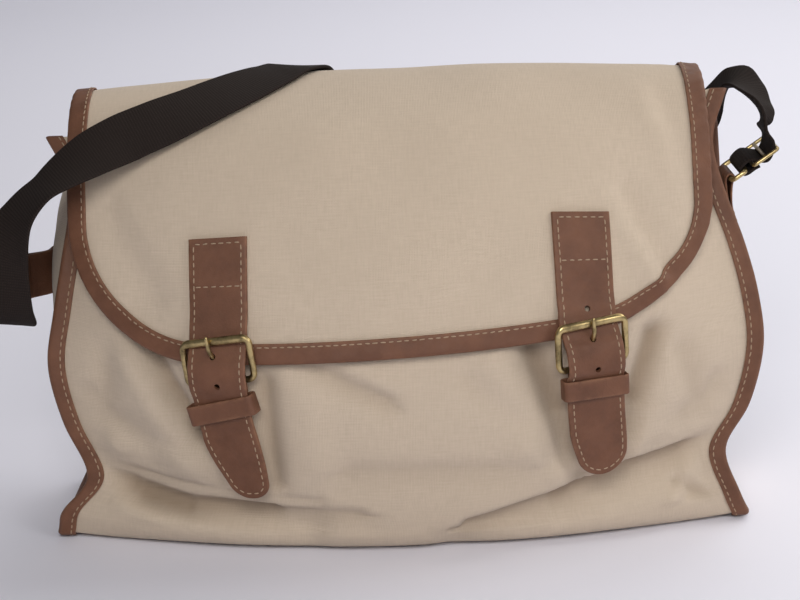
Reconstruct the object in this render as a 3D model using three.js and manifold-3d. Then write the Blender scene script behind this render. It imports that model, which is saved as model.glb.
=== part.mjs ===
// Canvas messenger bag with leather trim, buckled flap straps and a webbing shoulder strap.
// Millimetres. X is to the bag's right as seen from the front, Y goes away from the viewer, Z is up.
// The origin is on the surface that the bag stands on, under the middle of its base.
import * as THREE from "three";
import { mergeVertices } from "three/addons/utils/BufferGeometryUtils.js";
import Module from "manifold-3d";

const wasm = await Module();
wasm.setup();

// Thicknesses and the gap that separate pieces keep
const CANVAS = 1.2;
const LEATHER = 1.2;
const STRAP_LEATHER = 2.4;
const BILLET_LEATHER = 1.5;
const WEBBING = 2;
const GAP = 0.3;

// The bag's body, section by section: down the front, under the base and up the back.
// left and right are the end seams' X. side and mid are the canvas at the seams and half way between
// them. tilt lifts the right seam and lowers the left one. steps is the number of facets to the next row.
const BODY_SECTIONS = [
  { name: "mouth", left: -204, right: 191, sideY: 8, sideZ: 254, midY: -26, midZ: 250, tilt: 9, steps: 1 },
  { name: "neck", left: -193, right: 181, sideY: -5, sideZ: 231, midY: -45, midZ: 232, tilt: 4, steps: 1 },
  { name: "shoulder", left: -190, right: 187, sideY: -15, sideZ: 205, midY: -65, midZ: 205, tilt: 1, steps: 1 },
  { name: "chest", left: -195, right: 198, sideY: -24, sideZ: 175, midY: -82, midZ: 174, tilt: 0, steps: 1 },
  { name: "upper_belly", left: -201, right: 206, sideY: -31, sideZ: 144, midY: -93, midZ: 142, tilt: 0, steps: 2 },
  { name: "belly", left: -206, right: 209, sideY: -36, sideZ: 112, midY: -98, midZ: 110, tilt: 0, steps: 2 },
  { name: "lower_belly", left: -199, right: 201, sideY: -38, sideZ: 76, midY: -97, midZ: 76, tilt: 0, steps: 2 },
  { name: "pinch", left: -186, right: 186, sideY: -41, sideZ: 45, midY: -91, midZ: 42, tilt: 3, steps: 2 },
  { name: "hem", left: -203, right: 195, sideY: -43, sideZ: 20, midY: -84, midZ: 16, tilt: 0, steps: 1 },
  { name: "toe", left: -206, right: 199.7, sideY: -40.65, sideZ: 9, midY: -75, midZ: 4, tilt: 0, steps: 1 },
  { name: "front_corner", left: -207.5, right: 202, sideY: -39.5, sideZ: 3.6, midY: -60, midZ: 0.6, tilt: 0, steps: 3 },
  { name: "base", left: -206, right: 201, sideY: 14, sideZ: 3.2, midY: 5, midZ: 0.6, tilt: 0, steps: 3 },
  { name: "back_corner", left: -205, right: 201, sideY: 60, sideZ: 3.6, midY: 56, midZ: 0.6, tilt: 0, steps: 1 },
  { name: "heel", left: -203.7, right: 200.2, sideY: 61, sideZ: 10, midY: 69, midZ: 5, tilt: 0, steps: 3 },
  { name: "lower_back", left: -200, right: 198, sideY: 64, sideZ: 45, midY: 77, midZ: 45, tilt: 0, steps: 3 },
  { name: "back", left: -200, right: 200, sideY: 65, sideZ: 110, midY: 76, midZ: 112, tilt: 0, steps: 4 },
  { name: "upper_back", left: -198, right: 198, sideY: 61, sideZ: 180, midY: 67, midZ: 184, tilt: 0, steps: 3 },
  { name: "back_mouth", left: -196, right: 192, sideY: 49, sideZ: 240, midY: 51, midZ: 256, tilt: 3, steps: 0 },
];
const FRONT_CORNER = BODY_SECTIONS.findIndex((section) => section.name === "front_corner");
const BACK_CORNER = BODY_SECTIONS.findIndex((section) => section.name === "back_corner");
const BODY_FULLNESS = 2.2;
const BODY_COLUMNS = 16;
const BASE_FLAT = 0.6;

// Folds pressed into the front: a valley (depth below zero) or ridge between two places on it.
const FRONT_FOLDS = [
  { name: "left_crease", fromX: -186, fromZ: 42, toX: -60, toZ: 18, width: 11, depth: -7 },
  { name: "right_crease", fromX: 186, fromZ: 47, toX: 95, toZ: 26, width: 11, depth: -7 },
  { name: "right_sag", fromX: 95, fromZ: 28, toX: 25, toZ: 8, width: 10, depth: -4 },
  { name: "left_pull", fromX: -150, fromZ: 128, toX: -122, toZ: 92, width: 14, depth: -4 },
  { name: "right_pull", fromX: 78, fromZ: 126, toX: 96, toZ: 70, width: 13, depth: -4 },
  { name: "outer_pull", fromX: 140, fromZ: 128, toX: 128, toZ: 72, width: 13, depth: -4 },
];

// How far each gusset bulges past its seams at these heights
const GUSSET_BULGE = [
  { height: 0, left: 0, right: 0 },
  { height: 14, left: 0, right: 0 },
  { height: 60, left: 6, right: 5 },
  { height: 175, left: 20, right: 8 },
  { height: 260, left: 6, right: 4 },
];
const GUSSET_COLUMNS = BODY_SECTIONS.slice(FRONT_CORNER, BACK_CORNER).reduce((sum, row) => sum + row.steps, 0);

// The end seams stand out as a fin of both canvases, with leather folded over it
const FIN = 7.6;
const BINDING_REACH = 8;
const BINDING_CLEAR = 3.4;
const FOLD_TURNS = 2;

// The flap, section by section: sewn on behind, over the top, down the front. Columns as above.
const FLAP_LEFT = -196;
const FLAP_RIGHT = 185;
const FLAP_CORNER = 80;
const FLAP_FULLNESS = 2.2;
const FLAP_BINDING = 10;
const FLAP_SECTIONS = [
  { name: "sewn_edge", midY: 61, midZ: 234, sideY: 60, sideZ: 229, tilt: 2 },
  { name: "back_edge", midY: 55, midZ: 263, sideY: 54, sideZ: 255, tilt: 2.5 },
  { name: "ridge", midY: 36, midZ: 277, sideY: 34, sideZ: 270, tilt: 2.5 },
  { name: "top", midY: 5, midZ: 272, sideY: 8, sideZ: 266, tilt: 2.5 },
  { name: "brow", midY: -34, midZ: 255, sideY: -13, sideZ: 247, tilt: 2 },
  { name: "upper", midY: -57, midZ: 233, sideY: -25, sideZ: 226, tilt: 2 },
  { name: "middle", midY: -76, midZ: 205, sideY: -34, sideZ: 200, tilt: 3 },
  { name: "lower", midY: -92, midZ: 172, sideY: -43, sideZ: 170, tilt: 6 },
  { name: "hem", midY: -100, midZ: 144, sideY: -47, sideZ: 145, tilt: 9 },
  { name: "bottom", midY: -102.5, midZ: 134, sideY: -49, sideZ: 136, tilt: 9.5 },
];
const FLAP_ROWS = 13;
const FLAP_CORNER_ROWS = 6;
const FLAP_COLUMNS = 14;

// The two fastenings: strap centre at its sewn top, at the buckle's top bar, at the keeper and at its tip.
// frameTurn and keeperTurn are how far the buckle and the keeper sit askew on the strap, in degrees.
// keeperClear is how much wider than the strap the keeper is, keeperDrop how far it is below the buckle.
const FASTENINGS = [
  {
    side: "left", topX: -105.3, barX: -105.6, keeperX: -102.8, tipX: -94, topZ: 197, barZ: 141, tipZ: 45.6,
    holesAbove: 0, frameTurn: 6, keeperTurn: 14, keeperClear: 6, keeperDrop: 15,
  },
  {
    side: "right", topX: 104.7, barX: 106, keeperX: 108.8, tipX: 113, topZ: 205, barZ: 144.5, tipZ: 52.7,
    holesAbove: 1, frameTurn: 0, keeperTurn: 1, keeperClear: 2.6, keeperDrop: 12,
  },
];
const STRAP_WIDTH = 35.5;
const STRAP_TIP = 26;
const HOLE_PITCH = 17;
const HOLE_DIAMETER = 3.6;
const HOLES_BELOW = 2;
const BAR_STANDOFF = 9.4;
const HEEL_STANDOFF = 7.8;
const FRAME_DROP = 25;
const FRAME_WIDTH = 46;
const FRAME_WIRE = 4;
const PRONG_WIRE = 2.6;
const KEEPER_HEIGHT = 12;
const KEEPER_BACK = 3.5;
const KEEPER_FRONT = 13.8;
const BILLET_WIDTH = 28;
const BILLET_LENGTH = 42;
const PRONG_SLOT = 7;

// The shoulder strap's rings, tabs and slider
const RING_WIRE = 3;
const RING_PITCH = 10;
const RING_WIDTH = 43;
const TAB_WIDTH = 28;
const TAB_CLEAR = 0.8;
const SLIDER_LENGTH = 20;
const SLIDER_WIDTH = 43;
const SLIDER_WIRE = 2.4;
const SLIDER_PAST_RING = 14.5;
const WEBBING_WIDTH = 35;

// The shoulder strap's route between its fittings, with the direction across the webbing at each stop
const STRAP_STOPS = [
  { name: "twist", x: -252, y: -17, z: 151, acrossX: -0.35, acrossY: 0.1, acrossZ: 0.93 },
  { name: "loop_back", x: -244, y: -29, z: 143, acrossX: -0.85, acrossY: -0.1, acrossZ: 0.5 },
  { name: "loop_low", x: -238, y: -42, z: 142, acrossX: -0.97, acrossY: -0.2, acrossZ: 0.1 },
  { name: "loop_front", x: -237, y: -53, z: 152, acrossX: -1, acrossY: 0, acrossZ: 0 },
  { name: "rising", x: -236, y: -57, z: 167.5, acrossX: -0.98, acrossY: 0.2, acrossZ: 0 },
  { name: "leaning", x: -234, y: -58, z: 188, acrossX: -0.94, acrossY: 0.3, acrossZ: 0.12 },
  { name: "before_flap", x: -222.5, y: -57, z: 212, acrossX: -0.55, acrossY: 0.81, acrossZ: 0.19 },
  { name: "flap_corner", x: -208, y: -54, z: 227, acrossX: -0.31, acrossY: 0.93, acrossZ: 0.21 },
  { name: "flap_edge", x: -182, y: -44, z: 243, acrossX: -0.24, acrossY: 0.75, acrossZ: 0.6 },
  { name: "flap_upper", x: -160, y: -35, z: 252, acrossX: -0.2, acrossY: 0.65, acrossZ: 0.7 },
  { name: "brow", x: -140, y: -28, z: 259, acrossX: -0.25, acrossY: 0.7, acrossZ: 0.65 },
  { name: "top", x: -121, y: -19, z: 265.3, acrossX: -0.32, acrossY: 0.78, acrossZ: 0.52 },
  { name: "near_ridge", x: -104, y: -8, z: 270.8, acrossX: -0.42, acrossY: 0.82, acrossZ: 0.42 },
  { name: "ridge_front", x: -88, y: 6, z: 275.2, acrossX: -0.52, acrossY: 0.82, acrossZ: 0.3 },
  { name: "ridge", x: -75, y: 20, z: 278.2, acrossX: -0.62, acrossY: 0.78, acrossZ: 0.15 },
  { name: "over", x: -64, y: 36, z: 279.8, acrossX: -0.68, acrossY: 0.72, acrossZ: -0.02 },
  { name: "falling", x: -55, y: 53, z: 273.2, acrossX: -0.72, acrossY: 0.5, acrossZ: -0.3 },
  { name: "behind", x: -49, y: 70, z: 253, acrossX: -0.83, acrossY: 0.5, acrossZ: -0.25 },
  { name: "behind_low", x: -43, y: 88, z: 226, acrossX: -0.85, acrossY: 0.5, acrossZ: 0 },
  { name: "hanging", x: -36, y: 99, z: 188, acrossX: -0.6, acrossY: 0.8, acrossZ: 0 },
  { name: "hanging_low", x: -28, y: 105, z: 140, acrossX: -0.25, acrossY: 1, acrossZ: 0 },
  { name: "knee", x: -14, y: 106, z: 88, acrossX: 0, acrossY: 1, acrossZ: 0 },
  { name: "floor_start", x: 10, y: 106, z: 40, acrossX: 0, acrossY: 1, acrossZ: 0 },
  { name: "floor_near", x: 42, y: 106, z: 11, acrossX: 0, acrossY: 1, acrossZ: 0 },
  { name: "floor", x: 86, y: 106, z: 2, acrossX: 0, acrossY: 1, acrossZ: 0 },
  { name: "floor_end", x: 134, y: 106, z: 11, acrossX: 0, acrossY: 1, acrossZ: 0 },
  { name: "lifting", x: 158, y: 106, z: 40, acrossX: 0, acrossY: 1, acrossZ: 0 },
  { name: "climbing", x: 182, y: 104, z: 135, acrossX: -0.25, acrossY: 0.95, acrossZ: 0.2 },
  { name: "shoulder", x: 200, y: 83, z: 227, acrossX: -0.2, acrossY: 0.86, acrossZ: 0.45 },
  { name: "arch_start", x: 205.8, y: 71, z: 242.6, acrossX: 0, acrossY: 0.75, acrossZ: 0.65 },
  { name: "arch_rise", x: 210.2, y: 62, z: 253.4, acrossX: 0.2, acrossY: 0.72, acrossZ: 0.66 },
  { name: "arch_top", x: 214.4, y: 55.5, z: 258.6, acrossX: 0.6, acrossY: 0.65, acrossZ: 0.42 },
  { name: "arch_over", x: 219.2, y: 48.5, z: 257, acrossX: 0.76, acrossY: 0.6, acrossZ: -0.05 },
  { name: "arch_fall", x: 222.6, y: 38.5, z: 253.4, acrossX: 0.72, acrossY: 0.58, acrossZ: -0.38 },
  { name: "arch_low", x: 224.9, y: 27.5, z: 249.2, acrossX: 0.48, acrossY: 0.82, acrossZ: -0.25 },
  { name: "arch_end", x: 226.2, y: 20, z: 243.4, acrossX: 0.12, acrossY: 0.99, acrossZ: -0.04 },
  { name: "slider_above", x: 226.5, y: 18, z: 236, acrossX: 0, acrossY: 1, acrossZ: 0 },
];

// Which group of a box's facets lies on its -z face
const BOX_BACK = 5;

const vector = (x, y, z) => new THREE.Vector3(x, y, z);

// Smooth value of one column at a place between rows; corners of the base stay sharp between runs
function smooth(rows, column, place, first, last) {
  const row = Math.min(Math.max(Math.floor(place), first), last - 1);
  const t = place - row;
  const value = (index) => rows[Math.min(Math.max(index, first), last)][column];
  const slopeIn = (value(row + 1) - value(row - 1)) / (row === first ? 1 : 2);
  const slopeOut = (value(row + 2) - value(row)) / (row + 1 === last ? 1 : 2);
  const a = 2 * t ** 3 - 3 * t ** 2 + 1;
  const b = t ** 3 - 2 * t ** 2 + t;
  const c = t ** 3 - t ** 2;
  return a * value(row) + b * slopeIn + (1 - a) * value(row + 1) + c * slopeOut;
}

// Slab of facets whose grid points are given by place(column, row, face), with face -1 or 1. Both faces are
// split along the same diagonals, so that a twisted wall keeps its thickness
function slab(columns, rows, place) {
  const geometry = new THREE.BoxGeometry(2, 2, 2, columns, rows, 1);
  const corners = geometry.index.array;
  const back = geometry.groups[BOX_BACK];
  for (let first = back.start; first < back.start + back.count; first += 6) {
    const [a, b, d, , c] = corners.slice(first, first + 6);
    corners.set([a, b, c, a, c, d], first);
  }
  const position = geometry.attributes.position;
  for (let index = 0; index < position.count; index += 1) {
    const column = Math.round(((position.getX(index) + 1) / 2) * columns);
    const row = Math.round(((position.getY(index) + 1) / 2) * rows);
    const point = place(column, row, Math.sign(position.getZ(index)));
    position.setXYZ(index, point.x, point.y, point.z);
  }
  return closed(geometry);
}

// Geometry with shared corners merged and its faces turned outwards
function closed(geometry) {
  const merged = geometry.clone();
  merged.deleteAttribute("normal");
  merged.deleteAttribute("uv");
  const solid = mergeVertices(merged, 1e-4);
  const index = solid.index.array;
  const corner = (place) => new THREE.Vector3().fromBufferAttribute(solid.attributes.position, index[place]);
  let volume = 0;
  for (let place = 0; place < index.length; place += 3) {
    volume += corner(place).dot(corner(place + 1).cross(corner(place + 2)));
  }
  if (volume < 0) {
    index.reverse();
  }
  solid.computeVertexNormals();
  return solid;
}

function toManifold(geometry) {
  const solid = closed(geometry);
  const vertProperties = Float32Array.from(solid.attributes.position.array);
  const triVerts = Uint32Array.from(solid.index.array);
  return new wasm.Manifold(new wasm.Mesh({ numProp: 3, vertProperties, triVerts }));
}

function fromManifold(manifold) {
  const { vertProperties, triVerts } = manifold.getMesh();
  const geometry = new THREE.BufferGeometry();
  geometry.setAttribute("position", new THREE.BufferAttribute(vertProperties, 3));
  geometry.setIndex(new THREE.BufferAttribute(triVerts, 1));
  geometry.computeVertexNormals();
  return geometry;
}

const cut = (geometry, tools) =>
  fromManifold(tools.reduce((rest, tool) => rest.subtract(toManifold(tool)), toManifold(geometry)));

// Materials
const material = (color, roughness, metalness = 0) => new THREE.MeshStandardMaterial({ color, roughness, metalness });
const canvas = () => material(0xbaa998, 0.95);
const leather = () => material(0x6c4d3e, 0.6);
const webbing = () => material(0x28201d, 0.9);
const brass = () => material(0x9a8250, 0.35, 1);

const bag = new THREE.Group();

function add(name, geometry, finish, matrix = new THREE.Matrix4()) {
  const mesh = new THREE.Mesh(geometry, finish);
  mesh.name = name;
  mesh.applyMatrix4(matrix);
  bag.add(mesh);
}

const frameMatrix = (across, up, out, centre) => new THREE.Matrix4().makeBasis(across, up, out).setPosition(centre);

// Body: front, base and back in one canvas

function bodyRun(place) {
  if (place < FRONT_CORNER) {
    return [0, FRONT_CORNER];
  }
  return place < BACK_CORNER ? [FRONT_CORNER, BACK_CORNER] : [BACK_CORNER, BODY_SECTIONS.length - 1];
}

function bodySection(place) {
  const [first, last] = bodyRun(place);
  const read = (column) => smooth(BODY_SECTIONS, column, place, first, last);
  return {
    left: read("left"),
    right: read("right"),
    sideY: read("sideY"),
    sideZ: read("sideZ"),
    midY: read("midY"),
    midZ: read("midZ"),
    tilt: read("tilt"),
  };
}

function foldDepth(x, z) {
  return FRONT_FOLDS.reduce((sum, fold) => {
    const runX = fold.toX - fold.fromX;
    const runZ = fold.toZ - fold.fromZ;
    const along = ((x - fold.fromX) * runX + (z - fold.fromZ) * runZ) / (runX ** 2 + runZ ** 2);
    const nearest = Math.min(Math.max(along, 0), 1);
    const away = Math.hypot(x - fold.fromX - nearest * runX, z - fold.fromZ - nearest * runZ);
    return sum + fold.depth * Math.exp(-((away / fold.width) ** 2));
  }, 0);
}

// Canvas at u from -1 (left seam) to 1 (right seam); the base is level but for its two ends
function bodyPoint(u, place) {
  const section = bodySection(place);
  const full = 1 - Math.abs(u) ** BODY_FULLNESS;
  const onBase = place >= FRONT_CORNER && place <= BACK_CORNER;
  const level = 1 - Math.max(0, (Math.abs(u) - BASE_FLAT) / (1 - BASE_FLAT)) ** 2;
  const x = THREE.MathUtils.lerp(section.left, section.right, (u + 1) / 2);
  const sideZ = section.sideZ + u * section.tilt;
  const z = sideZ + (section.midZ - sideZ) * (onBase ? level : full);
  const y = section.sideY + (section.midY - section.sideY) * full;
  const pressed = place < FRONT_CORNER ? foldDepth(x, z) * Math.min(1, 6 * (1 - Math.abs(u))) : 0;
  return vector(x, y - pressed, z);
}

const STEP = 0.01;

function surfaceNormal(surface, u, v) {
  const du = surface(u + STEP, v).sub(surface(u - STEP, v));
  const dv = surface(u, v + STEP).sub(surface(u, v - STEP));
  return dv.cross(du).normalize();
}

// Direction that keeps a layer's two faces parallel where one run of canvas bends into the next
const mitre = (before, after) => before.clone().add(after).divideScalar(1 + before.dot(after));

const bodyRows = BODY_SECTIONS.flatMap((section, index) =>
  Array.from({ length: section.steps }, (_, step) => index + step / section.steps),
).concat(BODY_SECTIONS.length - 1);
const frontRows = bodyRows.findIndex((place) => place === FRONT_CORNER);
const lastRow = bodyRows.length - 1;

// One end seam: its points, and at each the outward direction
function seamLine(u) {
  const points = bodyRows.map((place) => bodyPoint(u, place));
  const normals = points.slice(1).map((point, index) => {
    const run = point.clone().sub(points[index]);
    return vector(0, run.z, -run.y).normalize();
  });
  const outward = points.map((_, index) => {
    const before = normals[Math.max(index - 1, 0)];
    return mitre(before, normals[Math.min(index, normals.length - 1)]);
  });
  return { points, outward, side: u };
}

const seams = { left: seamLine(-1), right: seamLine(1) };

// Place beside a seam: reach out past it along X, and lift along its outward direction
function besideSeam(seam, row, reach, lift) {
  const point = seam.points[row].clone().addScaledVector(seam.outward[row], lift);
  return point.add(vector(seam.side * reach, 0, 0));
}

function bodyColumn(column) {
  const t = (2 * (column - 1)) / (BODY_COLUMNS - 2) - 1;
  return 0.5 * (t + Math.sin((t * Math.PI) / 2));
}

function bodyPlace(column, row, face) {
  const lift = (face * CANVAS) / 2;
  if (column <= 1) {
    return besideSeam(seams.left, row, column === 0 ? FIN : 0, lift);
  }
  if (column >= BODY_COLUMNS - 1) {
    return besideSeam(seams.right, row, column === BODY_COLUMNS ? FIN : 0, lift);
  }
  const u = bodyColumn(column);
  const place = bodyRows[row];
  const before = surfaceNormal(bodyPoint, u, Math.max(place - 2 * STEP, 2 * STEP));
  const after = surfaceNormal(bodyPoint, u, Math.min(place + 2 * STEP, BODY_SECTIONS.length - 1 - 2 * STEP));
  return bodyPoint(u, place).addScaledVector(mitre(before, after), lift);
}

add("body_panel", slab(BODY_COLUMNS, lastRow, bodyPlace), canvas());

// Gussets: a flat end with a wall turned out along the front, base and back

const GUSSET_LIFT = -(CANVAS + GAP);
const CORNER_FACET = 0.04;

function gussetBulge(side, height) {
  const above = GUSSET_BULGE.findIndex((row) => row.height >= height);
  const upper = GUSSET_BULGE[above < 0 ? GUSSET_BULGE.length - 1 : Math.max(above, 1)];
  const lower = GUSSET_BULGE[GUSSET_BULGE.indexOf(upper) - 1];
  const part = THREE.MathUtils.smoothstep(height, lower.height, upper.height);
  return THREE.MathUtils.lerp(lower[side], upper[side], part);
}

// Middle of the gusset's canvas at a seam row and a share of the way from the front seam to the back one
function gussetFloor(side, row, share) {
  const seam = seams[side];
  const front = besideSeam(seam, row, 0, GUSSET_LIFT);
  const point = front.lerp(besideSeam(seam, lastRow - row, 0, GUSSET_LIFT), share);
  return point.add(vector(seam.side * gussetBulge(side, point.z) * Math.sin(Math.PI * share), 0, 0));
}

// Outer edge of the turned-out wall. Its two lower corners have a facet of a few tenths each way.
function gussetEdge(seam, column, row, lift) {
  const atFront = column <= 1;
  const corner = atFront ? frontRows : frontRows + GUSSET_COLUMNS;
  const inward = atFront ? 1 : -1;
  const edge = (seamRow) => besideSeam(seam, seamRow, FIN, lift);
  if (row === frontRows) {
    const besideCorner = column === 1 || column === GUSSET_COLUMNS - 1;
    return besideCorner ? edge(corner).lerp(edge(corner + inward), CORNER_FACET) : edge(frontRows + column);
  }
  if (row === frontRows - 1) {
    return edge(corner).lerp(edge(corner - inward), CORNER_FACET);
  }
  return edge(column === 0 ? row : lastRow - row);
}

function gussetPlace(side) {
  const seam = seams[side];
  return (column, row, face) => {
    const half = (face * CANVAS) / 2;
    if (row === frontRows || column === 0 || column === GUSSET_COLUMNS) {
      return gussetEdge(seam, column, row, GUSSET_LIFT - half);
    }
    const level = row === frontRows - 1 ? frontRows : row;
    const point = gussetFloor(side, level, (column - 1) / (GUSSET_COLUMNS - 2));
    point.x += seam.side * half;
    if (level === frontRows) {
      return point.addScaledVector(seam.outward[frontRows + baseRow(column)], -half);
    }
    if (column === 1) {
      return point.addScaledVector(seam.outward[level], -half);
    }
    return column === GUSSET_COLUMNS - 1 ? point.addScaledVector(seam.outward[lastRow - level], -half) : point;
  };
}

// Base row under a gusset column; the first and last columns stand on the corners
function baseRow(column) {
  if (column === 1) {
    return 0;
  }
  return column === GUSSET_COLUMNS - 1 ? GUSSET_COLUMNS : column;
}

for (const side of ["left", "right"]) {
  add(`gusset_${side}`, slab(GUSSET_COLUMNS, frontRows, gussetPlace(side)), canvas());
}

// Side bindings: leather folded over each fin, as a hairpin that opens towards the bag

function hairpin(reach, half, turns, innerStart = 0) {
  const rows = [{ reach: 0, lift: half, outReach: 0, outLift: 1 }];
  for (let turn = 0; turn <= turns; turn += 1) {
    const angle = (Math.PI * turn) / turns;
    const outReach = Math.sin(angle);
    const outLift = Math.cos(angle);
    rows.push({ reach: reach + half * outReach, lift: half * outLift, outReach, outLift });
  }
  rows.push({ reach: innerStart, lift: -half, outReach: 0, outLift: -1 });
  return rows;
}

const finHalf = CANVAS + GAP / 2 + GAP + LEATHER / 2;
const sideFold = hairpin(BINDING_REACH, finHalf, FOLD_TURNS, BINDING_CLEAR);

function sideBindingPlace(seam) {
  return (column, row, face) => {
    const fold = sideFold[column];
    const half = (face * LEATHER) / 2;
    const lift = GUSSET_LIFT / 2 + fold.lift + half * fold.outLift;
    return besideSeam(seam, row, fold.reach + half * fold.outReach + GAP, lift);
  };
}

for (const side of ["left", "right"]) {
  add(`side_binding_${side}`, slab(sideFold.length - 1, lastRow, sideBindingPlace(seams[side])), leather());
}

// Flap

const FLAP_CENTRE = (FLAP_LEFT + FLAP_RIGHT) / 2;
const FLAP_HALF = (FLAP_RIGHT - FLAP_LEFT) / 2;
const FLAP_LAST = FLAP_SECTIONS.length - 1;

// Distance along the flap's middle line at even steps of its sections
const FLAP_SAMPLES = 400;
const flapRuler = [0];
for (let sample = 1; sample <= FLAP_SAMPLES; sample += 1) {
  const at = (index) => (index / FLAP_SAMPLES) * FLAP_LAST;
  const read = (column, index) => smooth(FLAP_SECTIONS, column, at(index), 0, FLAP_LAST);
  const run = Math.hypot(
    read("midY", sample) - read("midY", sample - 1),
    read("midZ", sample) - read("midZ", sample - 1),
  );
  flapRuler.push(flapRuler[sample - 1] + run);
}
const FLAP_LENGTH = flapRuler[FLAP_SAMPLES];

function flapPlaceAt(length) {
  const after = flapRuler.findIndex((value) => value >= length);
  const sample = after < 0 ? FLAP_SAMPLES : Math.max(after, 1);
  const span = flapRuler[sample] - flapRuler[sample - 1];
  return ((sample - 1 + (length - flapRuler[sample - 1]) / span) / FLAP_SAMPLES) * FLAP_LAST;
}

// Canvas of the flap at a distance x from its middle line and a length from its sewn edge
function flapPoint(x, length) {
  const place = flapPlaceAt(length);
  const read = (column) => smooth(FLAP_SECTIONS, column, place, 0, FLAP_LAST);
  const u = x / FLAP_HALF;
  const full = 1 - Math.abs(u) ** FLAP_FULLNESS;
  const sideZ = read("sideZ");
  const y = read("sideY") + (read("midY") - read("sideY")) * full;
  const z = sideZ + (read("midZ") - sideZ) * full + u * read("tilt");
  return vector(FLAP_CENTRE + x, y, z);
}

const FLAP_STEP = 0.5;

function flapNormal(x, length) {
  const held = Math.min(Math.max(length, FLAP_STEP), FLAP_LENGTH - FLAP_STEP);
  const du = flapPoint(x + FLAP_STEP, held).sub(flapPoint(x - FLAP_STEP, held));
  const dv = flapPoint(x, held + FLAP_STEP).sub(flapPoint(x, held - FLAP_STEP));
  return dv.cross(du).normalize();
}

// Rows of the flap: straight sides first, then round corners, with half the flap's width at each row
const flapRows = [];
for (let row = 0; row <= FLAP_ROWS; row += 1) {
  flapRows.push({ length: ((FLAP_LENGTH - FLAP_CORNER) * row) / FLAP_ROWS, half: FLAP_HALF, outX: 1, outLength: 0 });
}
for (let row = 1; row <= FLAP_CORNER_ROWS; row += 1) {
  const angle = ((Math.PI / 2) * row) / FLAP_CORNER_ROWS;
  flapRows.push({
    length: FLAP_LENGTH - FLAP_CORNER * (1 - Math.sin(angle)),
    half: FLAP_HALF - FLAP_CORNER * (1 - Math.cos(angle)),
    outX: Math.cos(angle),
    outLength: Math.sin(angle),
  });
}

function flapGridPlace(column, row, face) {
  const { length, half } = flapRows[row];
  const x = half * ((2 * column) / FLAP_COLUMNS - 1);
  return flapPoint(x, length).addScaledVector(flapNormal(x, length), (face * CANVAS) / 2);
}

add("flap", slab(FLAP_COLUMNS, flapRows.length - 1, flapGridPlace), canvas());

// Flap binding: the flap's outline from its sewn edge on the left, round the lower edge, to the right
const leftOutline = flapRows.map(({ length, half, outX, outLength }) => ({ x: -half, length, outX: -outX, outLength }));
const rightOutline = flapRows.map(({ length, half, outX, outLength }) => ({ x: half, length, outX, outLength }));
const lowerHalf = flapRows.at(-1).half;
const lowerOutline = Array.from({ length: FLAP_COLUMNS - 1 }, (_, column) => ({
  x: lowerHalf * ((2 * (column + 1)) / FLAP_COLUMNS - 1),
  length: FLAP_LENGTH,
  outX: 0,
  outLength: 1,
}));
const flapOutline = [...leftOutline, ...lowerOutline, ...rightOutline.reverse()];
const flapFold = hairpin(FLAP_BINDING, CANVAS / 2 + 2 * GAP + LEATHER / 2, FOLD_TURNS);

function flapBindingPlace(column, row, face) {
  const edge = flapOutline[row];
  const fold = flapFold[column];
  const half = (face * LEATHER) / 2;
  const reach = fold.reach - FLAP_BINDING + GAP + half * fold.outReach;
  const inside = Math.min(reach, 0);
  const x = edge.x + edge.outX * inside;
  const length = edge.length + edge.outLength * inside;
  const normal = flapNormal(x, length);
  const point = flapPoint(x, length).addScaledVector(normal, fold.lift + half * fold.outLift);
  if (reach <= 0) {
    return point;
  }
  const inner = flapPoint(edge.x - edge.outX, edge.length - edge.outLength);
  const outward = flapPoint(edge.x, edge.length).sub(inner).normalize();
  return point.addScaledVector(outward, reach);
}

add("flap_binding", slab(flapFold.length - 1, flapOutline.length - 1, flapBindingPlace), leather());

// Places on the canvas in front, found by height at a given X

function solve(low, high, isAbove) {
  let [from, to] = [low, high];
  for (let turn = 0; turn < 40; turn += 1) {
    const middle = (from + to) / 2;
    [from, to] = isAbove(middle) ? [middle, to] : [from, middle];
  }
  return (from + to) / 2;
}

const ACROSS_STEP = 12;

// Point, outward normal and across direction of the flap at X and Z
function onFlap(x, z) {
  const local = x - FLAP_CENTRE;
  const length = solve(FLAP_LENGTH * 0.35, FLAP_LENGTH, (middle) => flapPoint(local, middle).z > z);
  const point = flapPoint(local, length);
  const across = flapPoint(local + ACROSS_STEP, length).sub(flapPoint(local - ACROSS_STEP, length)).normalize();
  return { point, normal: flapNormal(local, length), across };
}

// The same on the body's front
function onFront(x, z) {
  const uAt = (place) => {
    const section = bodySection(place);
    return (2 * (x - section.left)) / (section.right - section.left) - 1;
  };
  const place = solve(0, FRONT_CORNER, (middle) => bodyPoint(uAt(middle), middle).z > z);
  const u = uAt(place);
  const stepU = ACROSS_STEP / 200;
  const across = bodyPoint(u + stepU, place).sub(bodyPoint(u - stepU, place)).normalize();
  return { point: bodyPoint(u, place), normal: surfaceNormal(bodyPoint, u, place), across };
}

const lifted = (spot, out) => spot.point.clone().addScaledVector(spot.normal, out);

// Ribbon along a route of points, each with its across direction; width may change along it
function ribbon(route, columns, steps, thickness, halfWidthAt) {
  const middle = new THREE.CatmullRomCurve3(route.map((stop) => stop.point));
  const across = new THREE.CatmullRomCurve3(route.map((stop) => stop.across));
  const count = (route.length - 1) * steps;
  return slab(columns, count, (column, row, face) => {
    const t = row / count;
    const tangent = middle.getTangent(t);
    const wide = across.getPoint(t);
    wide.addScaledVector(tangent, -wide.dot(tangent)).normalize();
    const up = wide.clone().cross(tangent);
    const side = (2 * column) / columns - 1;
    const point = middle.getPoint(t).addScaledVector(wide, side * halfWidthAt(t, middle));
    return point.addScaledVector(up, (face * thickness) / 2);
  });
}

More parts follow.
